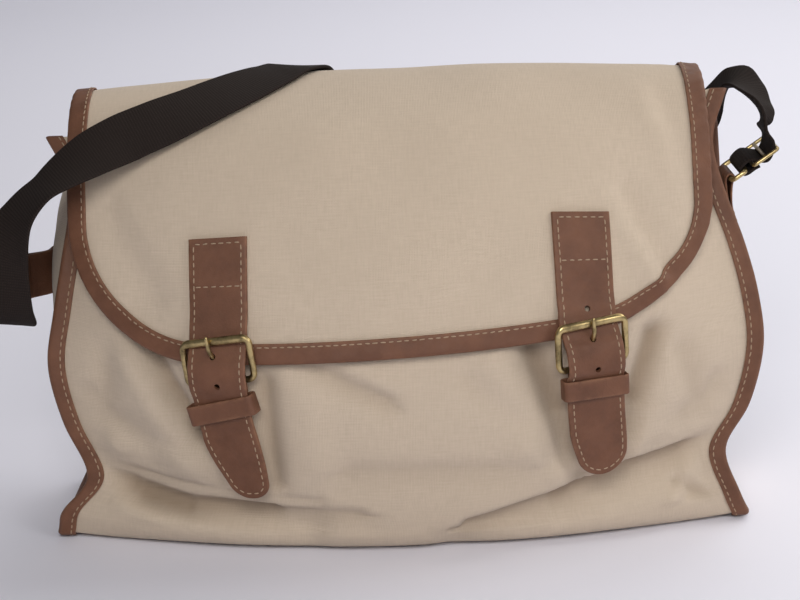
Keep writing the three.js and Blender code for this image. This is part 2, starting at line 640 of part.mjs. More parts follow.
// Flat ring cut from plate with rounded edges: a wire frame with rounded corners
function wireFrame(width, height, wire, cornerRadius, arcSteps, middleBar = false) {
  const bevel = wire * 0.3;
  const outline = (shape, w, h, r, centreY) => {
    const x = w / 2 - r;
    const y = h / 2 - r;
    shape.absarc(x, centreY + y, r, 0, Math.PI / 2);
    shape.absarc(-x, centreY + y, r, Math.PI / 2, Math.PI);
    shape.absarc(-x, centreY - y, r, Math.PI, 1.5 * Math.PI);
    shape.absarc(x, centreY - y, r, 1.5 * Math.PI, 2 * Math.PI);
    shape.closePath();
    return shape;
  };
  const shape = outline(new THREE.Shape(), width, height, cornerRadius, 0);
  const openings = middleBar ? [-1, 1] : [0];
  const openHeight = middleBar ? (height - 3 * wire) / 2 : height - 2 * wire;
  for (const place of openings) {
    const centreY = (place * (openHeight + wire)) / 2;
    shape.holes.push(outline(new THREE.Path(), width - 2 * wire, openHeight, Math.max(cornerRadius - wire, 0.8), centreY));
  }
  const plate = new THREE.ExtrudeGeometry(shape, {
    depth: wire - 2 * bevel,
    bevelThickness: bevel,
    bevelSize: bevel,
    bevelOffset: -bevel,
    bevelSegments: 1,
    curveSegments: arcSteps,
  });
  return closed(plate.translate(0, 0, bevel - wire / 2));
}

// Round wire along points
function wireAlong(points, diameter, steps) {
  const section = new THREE.Shape();
  section.absarc(0, 0, diameter / 2, 0, 2 * Math.PI);
  const extrudePath = new THREE.CatmullRomCurve3(points);
  return closed(new THREE.ExtrudeGeometry(section, { extrudePath, steps, curveSegments: 3 }));
}

// Fastenings

function strapHalfWidth(t, curve) {
  const left = (1 - t) * curve.getLength();
  const past = Math.min(Math.max(1 - left / STRAP_TIP, 0), 0.97);
  return (STRAP_WIDTH / 2) * (1 - past ** 3) ** 0.5;
}

for (const row of FASTENINGS) {
  const heelZ = row.barZ - FRAME_DROP;
  const keeperZ = heelZ - row.keeperDrop;
  const strapX = (z) => {
    const [fromX, fromZ, toX, toZ] = z > row.barZ
      ? [row.topX, row.topZ, row.barX, row.barZ]
      : z > keeperZ ? [row.barX, row.barZ, row.keeperX, keeperZ] : [row.keeperX, keeperZ, row.tipX, row.tipZ];
    return THREE.MathUtils.lerp(fromX, toX, (fromZ - z) / (fromZ - toZ));
  };
  const barSpot = onFlap(row.barX, row.barZ);
  const heelSpot = onFront(strapX(heelZ), heelZ);
  const bar = lifted(barSpot, BAR_STANDOFF);
  const heel = lifted(heelSpot, HEEL_STANDOFF);
  const up = bar.clone().sub(heel).normalize();
  const frameHeight = bar.distanceTo(heel);
  const across = barSpot.across.clone().addScaledVector(up, -barSpot.across.dot(up)).normalize();
  const out = across.clone().cross(up).normalize();
  const inFrame = (outward, upward) => heel.clone().addScaledVector(out, outward).addScaledVector(up, upward);
  const askew = THREE.MathUtils.degToRad(row.frameTurn);
  const askewAcross = across.clone().applyAxisAngle(out, askew);
  const askewUp = up.clone().applyAxisAngle(out, askew);
  const keeperSpot = onFront(strapX(keeperZ), keeperZ);

  // Strap: on the flap, behind the top bar, in front of the heel bar, then down to its tip
  const flapStop = (z, lift) => {
    const spot = onFlap(strapX(z), z);
    return { point: lifted(spot, lift), across: spot.across };
  };
  const frontStop = (z, lift) => {
    const spot = onFront(strapX(z), z);
    return { point: lifted(spot, lift), across: spot.across };
  };
  const frameStop = (outward, upward) => ({ point: inFrame(outward, upward), across });
  const askewStop = (outward, upward) => ({
    point: inFrame(outward, frameHeight / 2).addScaledVector(askewUp, upward - frameHeight / 2),
    across: askewAcross,
  });
  const onCanvas = CANVAS / 2 + GAP + STRAP_LEATHER / 2;
  const behindBar = FRAME_WIRE / 2 + GAP + STRAP_LEATHER / 2;
  const route = [
    flapStop(row.topZ, onCanvas),
    flapStop(THREE.MathUtils.lerp(row.topZ, row.barZ, 0.4), onCanvas),
    flapStop(row.barZ + 15, onCanvas + 0.3),
    flapStop(row.barZ + 7, onCanvas + 1.7),
    frameStop(-behindBar - 2.2, frameHeight + 0.5),
    frameStop(0.2, frameHeight - 9),
    frameStop(4.2, frameHeight - 14),
    frameStop(6.8, 0),
    frontStop(keeperZ + 5, 10.6),
    frontStop(keeperZ - 5, 9.2),
    frontStop(keeperZ - 14, 8.3),
    frontStop(THREE.MathUtils.lerp(keeperZ, row.tipZ, 0.6), 8.5),
    frontStop(THREE.MathUtils.lerp(keeperZ, row.tipZ, 0.85), 9),
    frontStop(row.tipZ, 9.5),
  ];
  const prongRoute = [
    [2.1, -3.4], [-2.1, -3.4], [-4, 0.2], [-2.7, 3.4], [-0.2, 6.5], [0.6, 10], [0.9, 13], [1.8, 17],
    [4.2, frameHeight - 3.6], [3.8, frameHeight], [3.3, frameHeight + 4.5],
  ].map(([outward, upward]) => inFrame(outward, upward));
  const strapLine = new THREE.CatmullRomCurve3(route.map((stop) => stop.point));
  const holeTools = [];
  for (let hole = -HOLES_BELOW; hole <= row.holesAbove; hole += 1) {
    if (hole !== 0) {
      const height = row.barZ - 8 + hole * HOLE_PITCH;
      const t = solve(0, 1, (middle) => strapLine.getPoint(middle).z > height);
      const drill = new THREE.CylinderGeometry(HOLE_DIAMETER / 2, HOLE_DIAMETER / 2, 4 * STRAP_LEATHER, 6);
      const turn = new THREE.Quaternion().setFromUnitVectors(vector(0, 1, 0), out);
      drill.applyQuaternion(turn);
      drill.translate(...strapLine.getPoint(t).toArray());
      holeTools.push(drill);
    }
  }
  holeTools.push(wireAlong(prongRoute, PRONG_WIRE + 4 * GAP, 13));
  const strap = ribbon(route, 1, 3, STRAP_LEATHER, strapHalfWidth);
  add(`flap_strap_${row.side}`, cut(strap, holeTools), leather());

  // Buckle: wire frame round the strap, prong from the heel bar through a hole and over the top bar
  const frame = wireFrame(FRAME_WIDTH, frameHeight + FRAME_WIRE, FRAME_WIRE, 5, 2);
  const frameCentre = inFrame(0, frameHeight / 2);
  add(`buckle_frame_${row.side}`, frame, brass(), frameMatrix(askewAcross, askewUp, out, frameCentre));
  add(`buckle_prong_${row.side}`, wireAlong(prongRoute, PRONG_WIRE, 13), brass());

  // Billet: leather folded round the heel bar, slotted for the prong, both ends down the front
  const loop = FRAME_WIRE / 2 + 2.4 * GAP + BILLET_LEATHER / 2;
  const backLift = CANVAS / 2 + 2.5 * GAP + BILLET_LEATHER / 2;
  const frontLift = backLift + BILLET_LEATHER + GAP;
  const billetRoute = [
    frontStop(heelZ - BILLET_LENGTH, backLift),
    frontStop(heelZ - 24, backLift),
    frontStop(heelZ - 8, backLift),
    askewStop(-loop, -1),
    askewStop(-loop * 0.71, loop * 0.71),
    askewStop(0, loop),
    askewStop(loop * 0.71, loop * 0.71),
    askewStop(loop, -1),
    frontStop(keeperZ + 2, 6.3),
    frontStop(keeperZ - 7, 6),
    frontStop(keeperZ - 17, frontLift),
    frontStop(heelZ - BILLET_LENGTH + 2, frontLift),
  ];
  const slot = new THREE.BoxGeometry(PRONG_SLOT, 16, 14);
  slot.applyMatrix4(frameMatrix(across, up, out, inFrame(0, 1.5)));
  const billet = ribbon(billetRoute, 1, 2, BILLET_LEATHER, () => BILLET_WIDTH / 2);
  add(`billet_${row.side}`, cut(billet, [slot]), leather());

  // Keeper: leather loop round the strap, held between the billet's layers
  const keeperDepth = KEEPER_FRONT - KEEPER_BACK;
  const band = wireFrame(STRAP_WIDTH + row.keeperClear + 2 * LEATHER, keeperDepth, LEATHER, 2.4, 1);
  band.scale(1, 1, KEEPER_HEIGHT / LEATHER);
  const keeperTurn = THREE.MathUtils.degToRad(row.keeperTurn);
  const keeperAcross = keeperSpot.across.clone().applyAxisAngle(keeperSpot.normal, keeperTurn);
  const keeperUp = keeperSpot.normal.clone().cross(keeperAcross).normalize();
  const keeperCentre = lifted(keeperSpot, (KEEPER_FRONT + KEEPER_BACK) / 2);
  const keeperMatrix = frameMatrix(keeperAcross, keeperSpot.normal, keeperUp.clone().negate(), keeperCentre);
  add(`keeper_${row.side}`, band, leather(), keeperMatrix);
}

// Shoulder strap fittings. A ring lies between its tab's bar and the webbing's bar, both along one axis.
// outer is the sign of the ring's face that looks away from the bag.

const TAB_LOOP = RING_WIRE / 2 + 1.5 * GAP + LEATHER / 2;
const WEB_LOOP = RING_WIRE / 2 + 1.5 * GAP + WEBBING / 2;
const UPRIGHT = vector(0, 0, 1);
const FRONT_TO_BACK = vector(0, 1, 0);

const RINGS = {
  left: { tabBar: vector(-234, 9, 157), away: vector(-0.707, -0.707, 0), axis: UPRIGHT, outer: -1 },
  right: { tabBar: vector(205, 18, 207.5), away: vector(0.82, 0, 0.572), axis: FRONT_TO_BACK, outer: 1 },
};

for (const side of ["left", "right"]) {
  const ring = RINGS[side];
  ring.normal = ring.axis.clone().cross(ring.away).normalize();
  ring.webBar = ring.tabBar.clone().addScaledVector(ring.away, RING_PITCH);
  const centre = ring.tabBar.clone().lerp(ring.webBar, 0.5);
  const matrix = frameMatrix(ring.axis, ring.away, ring.normal, centre);
  add(`strap_ring_${side}`, wireFrame(RING_WIDTH, RING_PITCH + RING_WIRE, RING_WIRE, 3, 1), brass(), matrix);
}

// Stop of a route beside a ring's bar: away from the bag, and to the ring's face
function ringStop(ring, bar, away, face) {
  const point = bar.clone().addScaledVector(ring.away, away).addScaledVector(ring.normal, face);
  return { point, across: ring.axis };
}

// Gusset's canvas at a height, and at a share of the way from the front seam to the back one
function onGusset(side, z, share) {
  let row = 1;
  while (gussetFloor(side, row, share).z > z) {
    row += 1;
  }
  const above = gussetFloor(side, row - 1, share);
  const below = gussetFloor(side, row, share);
  return below.clone().lerp(above, (z - below.z) / (above.z - below.z));
}

// Tabs: leather sewn on the gusset, folded round the ring's bar and back over itself
function tabRoute(side, sewn) {
  const ring = RINGS[side];
  const inner = CANVAS / 2 + TAB_CLEAR + LEATHER / 2;
  const outer = inner + LEATHER + 2 * GAP;
  const layer = (lift) => sewn.map((point) => ({
    point: point.clone().add(vector(seams[side].side * lift, 0, 0)),
    across: ring.axis,
  }));
  const turn = [-1.5, -0.75, 0, 0.5, 1].map((quarter) => {
    const angle = (quarter * Math.PI) / 2;
    return ringStop(ring, ring.tabBar, TAB_LOOP * Math.cos(angle), ring.outer * TAB_LOOP * Math.sin(angle));
  });
  return [...layer(inner), ...turn, ...layer(outer).reverse()];
}

// The left tab lies across its gusset, the right one up its gusset
const TAB_SHARES = [0.76, 0.65, 0.54];
const TAB_HEIGHTS = [168, 179, 190];
const tabSewn = {
  left: TAB_SHARES.map((share) => onGusset("left", RINGS.left.tabBar.z, share)),
  right: TAB_HEIGHTS.map((height) => onGusset("right", height, 0.5)),
};
for (const side of ["left", "right"]) {
  const tab = ribbon(tabRoute(side, tabSewn[side]), 1, 2, LEATHER, () => TAB_WIDTH / 2);
  add(`strap_tab_${side}`, tab, leather());
}

// Slider: flat brass frame with a middle bar, just past the right ring
const sliderCentre = RINGS.right.webBar.clone().addScaledVector(RINGS.right.away, SLIDER_PAST_RING);
const slider = wireFrame(SLIDER_WIDTH, SLIDER_LENGTH, SLIDER_WIRE, 2.6, 1, true);
const sliderMatrix = frameMatrix(RINGS.right.axis, RINGS.right.away, RINGS.right.normal, sliderCentre);
add("strap_slider", slider, brass(), sliderMatrix);

// Webbing: from the left ring out and back in a turn, over the flap, down behind the bag to the floor,
// up the right end, in an arch and through the slider to the right ring
const leftStop = (away, face) => ringStop(RINGS.left, RINGS.left.webBar, away, face);
const sliderStop = (away, face) => ringStop(RINGS.right, sliderCentre, away, face);
const weave = SLIDER_WIRE / 2 + 4 * GAP + WEBBING / 2;
const sliderBar = (SLIDER_LENGTH - SLIDER_WIRE) / 2;
const freeRoute = STRAP_STOPS.map(({ x, y, z, acrossX, acrossY, acrossZ }) => ({
  point: vector(x, y, z),
  across: vector(acrossX, acrossY, acrossZ),
}));
const webbingRoute = [
  leftStop(22, -WEB_LOOP * 0.9),
  leftStop(8, -WEB_LOOP),
  leftStop(0, -WEB_LOOP),
  leftStop(-WEB_LOOP * 0.71, -WEB_LOOP * 0.71),
  leftStop(-WEB_LOOP, 0),
  leftStop(-WEB_LOOP * 0.71, WEB_LOOP * 0.71),
  leftStop(0, WEB_LOOP),
  leftStop(8, WEB_LOOP),
  ...freeRoute,
  sliderStop(sliderBar, -weave),
  sliderStop(0, weave),
  sliderStop(-sliderBar, -weave),
  sliderStop(-SLIDER_PAST_RING, -WEB_LOOP),
  sliderStop(-SLIDER_PAST_RING - WEB_LOOP * 0.71, -WEB_LOOP * 0.71),
  sliderStop(-SLIDER_PAST_RING - WEB_LOOP, 0),
  sliderStop(-SLIDER_PAST_RING - WEB_LOOP * 0.71, WEB_LOOP * 0.71),
  sliderStop(-SLIDER_PAST_RING, WEB_LOOP),
  sliderStop(-sliderBar, WEB_LOOP),
  sliderStop(-sliderBar + 3, WEB_LOOP + 0.4),
];
add("shoulder_strap", ribbon(webbingRoute, 1, 2, WEBBING, () => WEBBING_WIDTH / 2), webbing());

export default bag;
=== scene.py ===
from dataclasses import dataclass
from functools import partial

import bpy
import numpy as np
from mathutils import Matrix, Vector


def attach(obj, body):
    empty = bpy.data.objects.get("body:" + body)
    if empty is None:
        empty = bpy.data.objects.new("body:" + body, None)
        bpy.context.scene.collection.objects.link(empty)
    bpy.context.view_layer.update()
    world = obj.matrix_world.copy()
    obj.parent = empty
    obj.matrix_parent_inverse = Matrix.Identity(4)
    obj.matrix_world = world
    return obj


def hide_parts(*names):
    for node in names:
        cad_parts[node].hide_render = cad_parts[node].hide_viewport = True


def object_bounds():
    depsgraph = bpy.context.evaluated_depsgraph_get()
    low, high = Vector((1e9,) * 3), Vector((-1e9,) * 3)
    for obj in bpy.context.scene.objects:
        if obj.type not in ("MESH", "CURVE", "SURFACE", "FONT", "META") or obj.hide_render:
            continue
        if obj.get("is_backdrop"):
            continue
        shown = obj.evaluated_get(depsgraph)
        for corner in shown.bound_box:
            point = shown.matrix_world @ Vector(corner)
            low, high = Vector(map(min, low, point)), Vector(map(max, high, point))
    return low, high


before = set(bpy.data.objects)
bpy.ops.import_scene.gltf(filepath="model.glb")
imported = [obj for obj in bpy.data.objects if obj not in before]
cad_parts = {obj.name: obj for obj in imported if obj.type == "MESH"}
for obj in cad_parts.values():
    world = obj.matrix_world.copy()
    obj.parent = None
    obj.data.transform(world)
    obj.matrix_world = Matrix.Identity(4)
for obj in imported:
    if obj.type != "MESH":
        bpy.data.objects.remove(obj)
cad_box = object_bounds()

# Camera: in front of the bag and a little above it, aimed at the flap's lower part. The picture is turned
# by a degree or two, so that the bag's right end sits higher. Lengths in this file are millimetres.
MM = 0.001
CAMERA_AIM = np.array([-1.0, -45.0, 150.0])
CAMERA_DISTANCE = 1150.0
CAMERA_ELEVATION = np.radians(16.0)
CAMERA_TURN = np.radians(-1.7)
MM_PER_PIXEL = 0.60
PICTURE_WIDTH = 800
SENSOR_WIDTH = 36.0

camera_data = bpy.data.cameras.new("camera")
camera_data.sensor_width = SENSOR_WIDTH
camera_data.lens = SENSOR_WIDTH * CAMERA_DISTANCE / (MM_PER_PIXEL * PICTURE_WIDTH)
camera = bpy.data.objects.new("camera", camera_data)
camera_back = np.array([0.0, -np.cos(CAMERA_ELEVATION), np.sin(CAMERA_ELEVATION)])
camera.matrix_world = (
    Matrix.Translation((CAMERA_AIM + CAMERA_DISTANCE * camera_back) * MM)
    @ Matrix.Rotation(np.pi / 2 - CAMERA_ELEVATION, 4, "X")
    @ Matrix.Rotation(CAMERA_TURN, 4, "Z")
)
bpy.context.scene.collection.objects.link(camera)
bpy.context.scene.camera = camera
bpy.context.scene.view_settings.view_transform = "Standard"


# Floor and light: a pale sweep of paper that rises behind the bag, broad soft lamps in front, on the right
# and over the paper, and an even glow from all round.
FLOOR_COLOUR = (0.84, 0.84, 0.93, 1.0)
FLOOR_SHADE = 0.985
FLOOR_FRONT = 2500.0
FLOOR_DEPTH = 2600.0
FLOOR_WIDTH = 6000.0
FLOOR_RISE = 1500.0
FLOOR_POINTS = 60
GLOW_COLOUR = (0.93, 0.94, 1.0, 1.0)
GLOW_STRENGTH = 0.15
LAMP_COLOUR = (1.0, 0.98, 0.95)


def grid_faces(rows, columns):
    """Quads of a grid of rows by columns points, numbered row by row."""
    corner = np.arange(rows * columns).reshape(rows, columns)
    quads = (corner[:-1, :-1], corner[:-1, 1:], corner[1:, 1:], corner[1:, :-1])
    return np.stack(quads, axis=-1).reshape(-1, 4)


def new_piece(name, points, faces, material, uv=None, wear_and_crease_shade=None):
    """Smooth mesh of points in millimetres and quads. A point may have a place on the flat cloth, and a share:
    on leather how rubbed an edge is there, on canvas how much painted shade darkens a crease."""
    mesh = bpy.data.meshes.new(name)
    mesh.from_pydata((points.reshape(-1, 3) * MM).tolist(), [], faces.tolist())
    mesh.polygons.foreach_set("use_smooth", np.ones(len(mesh.polygons), bool))
    corners = np.empty(len(mesh.loops), np.int32)
    mesh.loops.foreach_get("vertex_index", corners)
    if uv is not None:
        layer = mesh.uv_layers.new(name="cloth")
        layer.data.foreach_set("uv", (uv.reshape(-1, 2) * MM)[corners].astype(np.float32).ravel())
    if wear_and_crease_shade is not None:
        # This attribute holds real wear on leather and painted crease shade on canvas
        attribute = mesh.attributes.new("wear_and_crease_shade", "FLOAT", "POINT")
        attribute.data.foreach_set("value", wear_and_crease_shade.reshape(-1).astype(np.float32))
    mesh.materials.append(material)
    mesh.update()
    piece = bpy.data.objects.new(name, mesh)
    bpy.context.scene.collection.objects.link(piece)
    return piece


class Finish:
    """A material with the shader nodes of its pattern; most methods add one node and return its output."""

    def __init__(self, name):
        self.material = bpy.data.materials.new(name)
        self.material.use_nodes = True
        self.tree = self.material.node_tree

    def fill(self, node, inputs):
        """Gives a node's inputs plain values or other nodes' outputs."""
        for name, value in inputs.items():
            if isinstance(value, bpy.types.NodeSocket):
                self.tree.links.new(value, node.inputs[name])
            else:
                node.inputs[name].default_value = value

    def add(self, kind, output, inputs=None, **settings):
        """Node of any kind, with its settings and inputs."""
        node = self.tree.nodes.new("ShaderNode" + kind)
        for name, value in settings.items():
            setattr(node, name, value)
        self.fill(node, inputs or {})
        return node.outputs[output]

    def noise(self, scale, detail, place=None, roughness=0.5):
        """Cloudy noise at a place, or over the piece's own box."""
        inputs = {"Scale": scale, "Detail": detail, "Roughness": roughness}
        return self.add("TexNoise", "Fac", inputs if place is None else {**inputs, "Vector": place})

    def waves(self, cloth, pitch, distortion, direction):
        """Sine waves along one direction of the cloth, a pitch in millimetres from crest to crest."""
        inputs = {"Vector": cloth, "Scale": 2 * np.pi / (20 * pitch * MM), "Distortion": distortion}
        return self.add("TexWave", "Fac", inputs, bands_direction=direction)

    def join(self, operation, first, second):
        """Sum or product of two values."""
        return self.add("Math", 0, {0: first, 1: second}, operation=operation)

    def spread(self, value, low, high, to_low=0.0, to_high=1.0):
        """Value between low and high, moved to between to_low and to_high."""
        inputs = {"Value": value, "From Min": low, "From Max": high, "To Min": to_low, "To Max": to_high}
        return self.add("MapRange", 0, inputs)

    def mix(self, share, first, second):
        """Colour between first and second."""
        return self.add("Mix", 2, {"Factor": share, 6: first, 7: second}, data_type="RGBA")

    def bump(self, height, strength, depth):
        """Surface raised by a height, over a depth in millimetres."""
        return self.add("Bump", "Normal", {"Height": height, "Strength": strength, "Distance": depth * MM})

    def shade(self, inputs):
        """Gives the shader its inputs and returns the material."""
        self.fill(self.tree.nodes["Principled BSDF"], inputs)
        return self.material


def darker(colour, share):
    """Colour at a share of its brightness."""
    return tuple(share * value for value in colour)


paper_finish = Finish("paper")
paper_colour = paper_finish.mix(paper_finish.noise(3.0, 2.0), FLOOR_COLOUR, darker(FLOOR_COLOUR, FLOOR_SHADE))
paper = paper_finish.shade({"Base Color": paper_colour, "Roughness": 0.8})

# The first half of the sweep is level, and the second is a quarter circle
sweep = np.linspace(0, 2, FLOOR_POINTS)
sweep_turn = np.clip(sweep - 1, 0, 1) * np.pi / 2
sweep_level = np.minimum(sweep, 1) * (FLOOR_FRONT + FLOOR_DEPTH) - FLOOR_FRONT
sweep_x = np.array([-FLOOR_WIDTH / 2, FLOOR_WIDTH / 2])
sweep_y = sweep_level + FLOOR_RISE * np.sin(sweep_turn)
sweep_z = FLOOR_RISE * (1 - np.cos(sweep_turn))
floor_points = np.stack(np.broadcast_arrays(sweep_x[None, :], sweep_y[:, None], sweep_z[:, None]), axis=-1)
floor = new_piece("floor", floor_points, grid_faces(FLOOR_POINTS, 2), paper)
floor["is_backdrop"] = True

world = bpy.data.worlds.new("studio")
world.use_nodes = True
world.node_tree.nodes["Background"].inputs["Color"].default_value = GLOW_COLOUR
world.node_tree.nodes["Background"].inputs["Strength"].default_value = GLOW_STRENGTH
bpy.context.scene.world = world


def unit(vectors):
    """Vectors of length one."""
    return vectors / np.linalg.norm(vectors, axis=-1, keepdims=True)


def soft_lamp(name, place, aim, size, power):
    """Square lamp at a place in millimetres, turned to aim."""
    lamp_data = bpy.data.lights.new(name, "AREA")
    lamp_data.size = size * MM
    lamp_data.energy = power
    lamp_data.color = LAMP_COLOUR
    lamp = bpy.data.objects.new(name, lamp_data)
    out = np.asarray(place, float) - np.asarray(aim, float)
    across = unit(np.cross((0.0, 0.0, 1.0), out))
    out = unit(out)
    turn = np.eye(4)
    turn[:3, :3] = np.stack((across, np.cross(out, across), out), axis=1)
    turn[:3, 3] = np.asarray(place, float) * MM
    lamp.matrix_world = Matrix(turn.tolist())
    bpy.context.scene.collection.objects.link(lamp)


soft_lamp("front_lamp", (-100, -1650, 1150), (0, -20, 90), 700, 17.5)
soft_lamp("right_lamp", (1300, -1300, 900), (0, -20, 120), 700, 7.5)
soft_lamp("side_lamp", (1700, 300, 1300), (0, -20, 120), 900, 14)
soft_lamp("far_paper_lamp", (900, 2000, 2200), (500, 2300, 0), 2400, 46)


# Canvas: unbleached plain weave with thicker threads here and there, with painted shade that makes its deep
# creases darker and browner. Its threads follow the cut of each piece, so they are drawn on the piece's own
# cloth map, at their real size.
CANVAS_COLOUR = (0.545, 0.445, 0.345, 1.0)
CANVAS_DARK = (0.495, 0.402, 0.309, 1.0)
CANVAS_PALE = (0.595, 0.49, 0.385, 1.0)
# Painted shade: the colour that the deep creases of the canvas are darkened towards
CANVAS_CREASE_SHADE = (0.255, 0.185, 0.125, 1.0)
THREAD_PITCH = 0.95


def canvas_finish():
    """Weave as the product of two sine waves, slubs as noise stretched along the threads, soft mottling as
    broad noise, and painted shade: a darker, browner colour in the creases by the share that the body gives
    them."""
    finish = Finish("canvas")
    cloth = finish.add("UVMap", "UV", uv_map="cloth")

    def slub(scale):
        """Noise drawn out along one thread direction."""
        return finish.noise(1.0, 3.0, finish.add("Mapping", "Vector", {"Vector": cloth, "Scale": scale}))

    weave = finish.join("MULTIPLY", *(finish.waves(cloth, THREAD_PITCH, 0.0, way) for way in "XY"))
    slubs = finish.join("ADD", slub((90.0, 900.0, 1.0)), slub((900.0, 90.0, 1.0)))
    threads = finish.mix(finish.spread(slubs, 0.7, 1.3), CANVAS_DARK, CANVAS_PALE)
    mottled = finish.mix(finish.noise(18.0, 4.0, cloth), threads, CANVAS_COLOUR)
    # Share of painted shade in the creases; on leather the same attribute holds real wear
    crease = finish.add("Attribute", "Fac", attribute_name="wear_and_crease_shade")
    return finish.shade({
        "Base Color": finish.mix(crease, mottled, CANVAS_CREASE_SHADE),
        "Normal": finish.bump(finish.join("ADD", weave, slubs), 0.35, 0.4),
        "Roughness": 0.92,
        "Sheen Weight": 0.15,
        "Specular IOR Level": 0.2,
    })


canvas = canvas_finish()

# Body: one long piece of canvas, down the front, under the base and up the back, sewn to the two ends.
# It is slack: the front bellies out over two creases that start where the ends pinch in above the base.
BODY_SECTIONS = np.array([
    # left, right, side_y, side_z, mid_y, mid_z, tilt
    (-204, 191, 8, 254, -26, 250, 9),
    (-193, 181, -5, 231, -45, 232, 4),
    (-190, 187, -15, 205, -65, 205, 1),
    (-195, 198, -24, 175, -82, 174, 0),
    (-201, 206, -31, 144, -93, 142, 0),
    (-206, 209, -36, 112, -98, 110, 0),
    (-199, 201, -38, 76, -97, 76, 0),
    (-186, 186, -41, 45, -91, 42, 3),
    (-203, 195, -43, 20, -84, 16, 0),
    (-206, 199.7, -40.65, 9, -75, 4, 0),
    (-207.5, 202, -39.5, 3.6, -60, 0.6, 0),
    (-206, 201, 14, 3.2, 5, 0.6, 0),
    (-205, 201, 60, 3.6, 56, 0.6, 0),
    (-203.7, 200.2, 61, 10, 69, 5, 0),
    (-200, 198, 64, 45, 77, 45, 0),
    (-200, 200, 65, 110, 76, 112, 0),
    (-198, 198, 61, 180, 67, 184, 0),
    (-196, 192, 49, 240, 51, 256, 3),
])
FRONT_CORNER = 10
BACK_CORNER = 12
BODY_LAST = len(BODY_SECTIONS) - 1
BODY_FULLNESS = 2.2
BASE_FLAT = 0.6
FOLD_FADE = 6.0
CANVAS_THICKNESS = 1.2
FRONT_FOLDS = np.array([
    # from_x, from_z, to_x, to_z, above, below, depth
    (-186, 42, -60, 18, 11, 11, -7),
    (186, 47, 95, 26, 11, 11, -7),
    (95, 28, 25, 8, 10, 10, -4),
    (-150, 128, -122, 92, 14, 14, -4),
    (78, 126, 96, 70, 13, 13, -4),
    (140, 128, 128, 72, 13, 13, -4),
])
FINE_FOLDS = np.array([
    # from_x, from_z, to_x, to_z, above, below, depth
    (-194, 48, -162, 36, 5, 9, -8.0),
    (-162, 36, -134, 31, 5, 10, -9.0),
    (-134, 31, -81, 29, 5, 10, -7.5),
    (-81, 29, -30, 29, 5, 12, -4.0),
    (-184, 50, -125, 44, 3.5, 5, -3.0),
    (-125, 44, -52, 38, 3.5, 5, -2.6),
    (-176, 66, -92, 54, 9, 8, 3.2),
    (-178, 30, -150, 16, 5, 6, 2.6),
    (140, 48, 188, 55, 4, 12, -7.0),
    (91, 34, 140, 48, 4, 12, -8.0),
    (36, 20, 91, 34, 4, 12, -6.0),
    (90, 50, 160, 68, 8, 8, 2.6),
    (180, 52, 194, 22, 4, 6, -6.0),
    (166, 32, 186, 20, 4, 6, -5.0),
    (162, 20, 176, 40, 6, 6, 3.0),
    (-156, 142, -139, 109, 5, 8, -7.0),
    (-139, 109, -120, 78, 5, 9, -7.5),
    (-120, 78, -112, 52, 6, 8, -4.0),
    (-168, 122, -144, 84, 10, 10, 3.0),
    (-82, 114, -78, 50, 7, 9, -6.0),
    (76, 130, 90, 92, 9, 9, -7.5),
    (90, 92, 104, 46, 7, 9, -6.0),
    (148, 130, 136, 92, 7, 9, -7.5),
    (136, 92, 132, 56, 7, 8, -5.0),
    (54, 122, 72, 70, 13, 13, 3.0),
    (-52, 124, -10, 104, 6, 10, -4.5),
    (-30, 122, -8, 113, 6, 6, 2.0),
    (-58, 112, -52, 60, 12, 12, 2.4),
    (-34, 58, 66, 56, 8, 16, -3.0),
    (-190, 96, -150, 60, 10, 10, -3.2),
    (150, 62, 190, 92, 10, 10, -3.2),
    (38, 114, 66, 88, 9, 9, -2.6),
    (168, 118, 180, 80, 10, 10, -3.4),
    (-184, 84, -178, 120, 10, 10, -3.0),
])


def smooth_rows(table, place, first, last):
    """Cubic curves through the rows of a table from first to last, read at places between them."""
    row = np.clip(np.floor(place).astype(int), first, last - 1)
    t = (place - row)[..., None]
    value = table[np.clip(row[..., None] + np.arange(-1, 3), first, last)]
    slope_in = (value[..., 2, :] - value[..., 0, :]) / np.where(row == first, 1, 2)[..., None]
    slope_out = (value[..., 3, :] - value[..., 1, :]) / np.where(row + 1 == last, 1, 2)[..., None]
    a = 2 * t**3 - 3 * t**2 + 1
    b = t**3 - 2 * t**2 + t
    c = t**3 - t**2
    return a * value[..., 1, :] + b * slope_in + (1 - a) * value[..., 2, :] + c * slope_out


def body_sections(place):
    """Section values down the front, under the base and up the back, each run smooth by itself."""
    front = smooth_rows(BODY_SECTIONS, place, 0, FRONT_CORNER)
    base = smooth_rows(BODY_SECTIONS, place, FRONT_CORNER, BACK_CORNER)
    back = smooth_rows(BODY_SECTIONS, place, BACK_CORNER, BODY_LAST)
    where = place[..., None]
    return np.where(where < FRONT_CORNER, front, np.where(where < BACK_CORNER, base, back))


def fold_depth(x, z, folds):
    """Deepest valley plus highest ridge, each a bell curve of the distance above or below a straight line."""
    bells = [np.zeros(np.broadcast(x, z).shape)]
    for from_x, from_z, to_x, to_z, above, below, depth in folds:
        run_x, run_z = to_x - from_x, to_z - from_z
        along = ((x - from_x) * run_x + (z - from_z) * run_z) / (run_x**2 + run_z**2)
        nearest = np.clip(along, 0, 1)
        away = np.hypot(x - from_x - nearest * run_x, z - from_z - nearest * run_z)
        rise = ((z - from_z) * run_x - (x - from_x) * run_z) * np.sign(run_x)
        bells.append(depth * np.exp(-((away / np.where(rise > 0, above, below)) ** 2)))
    return np.min(bells, axis=0) + np.max(bells, axis=0)


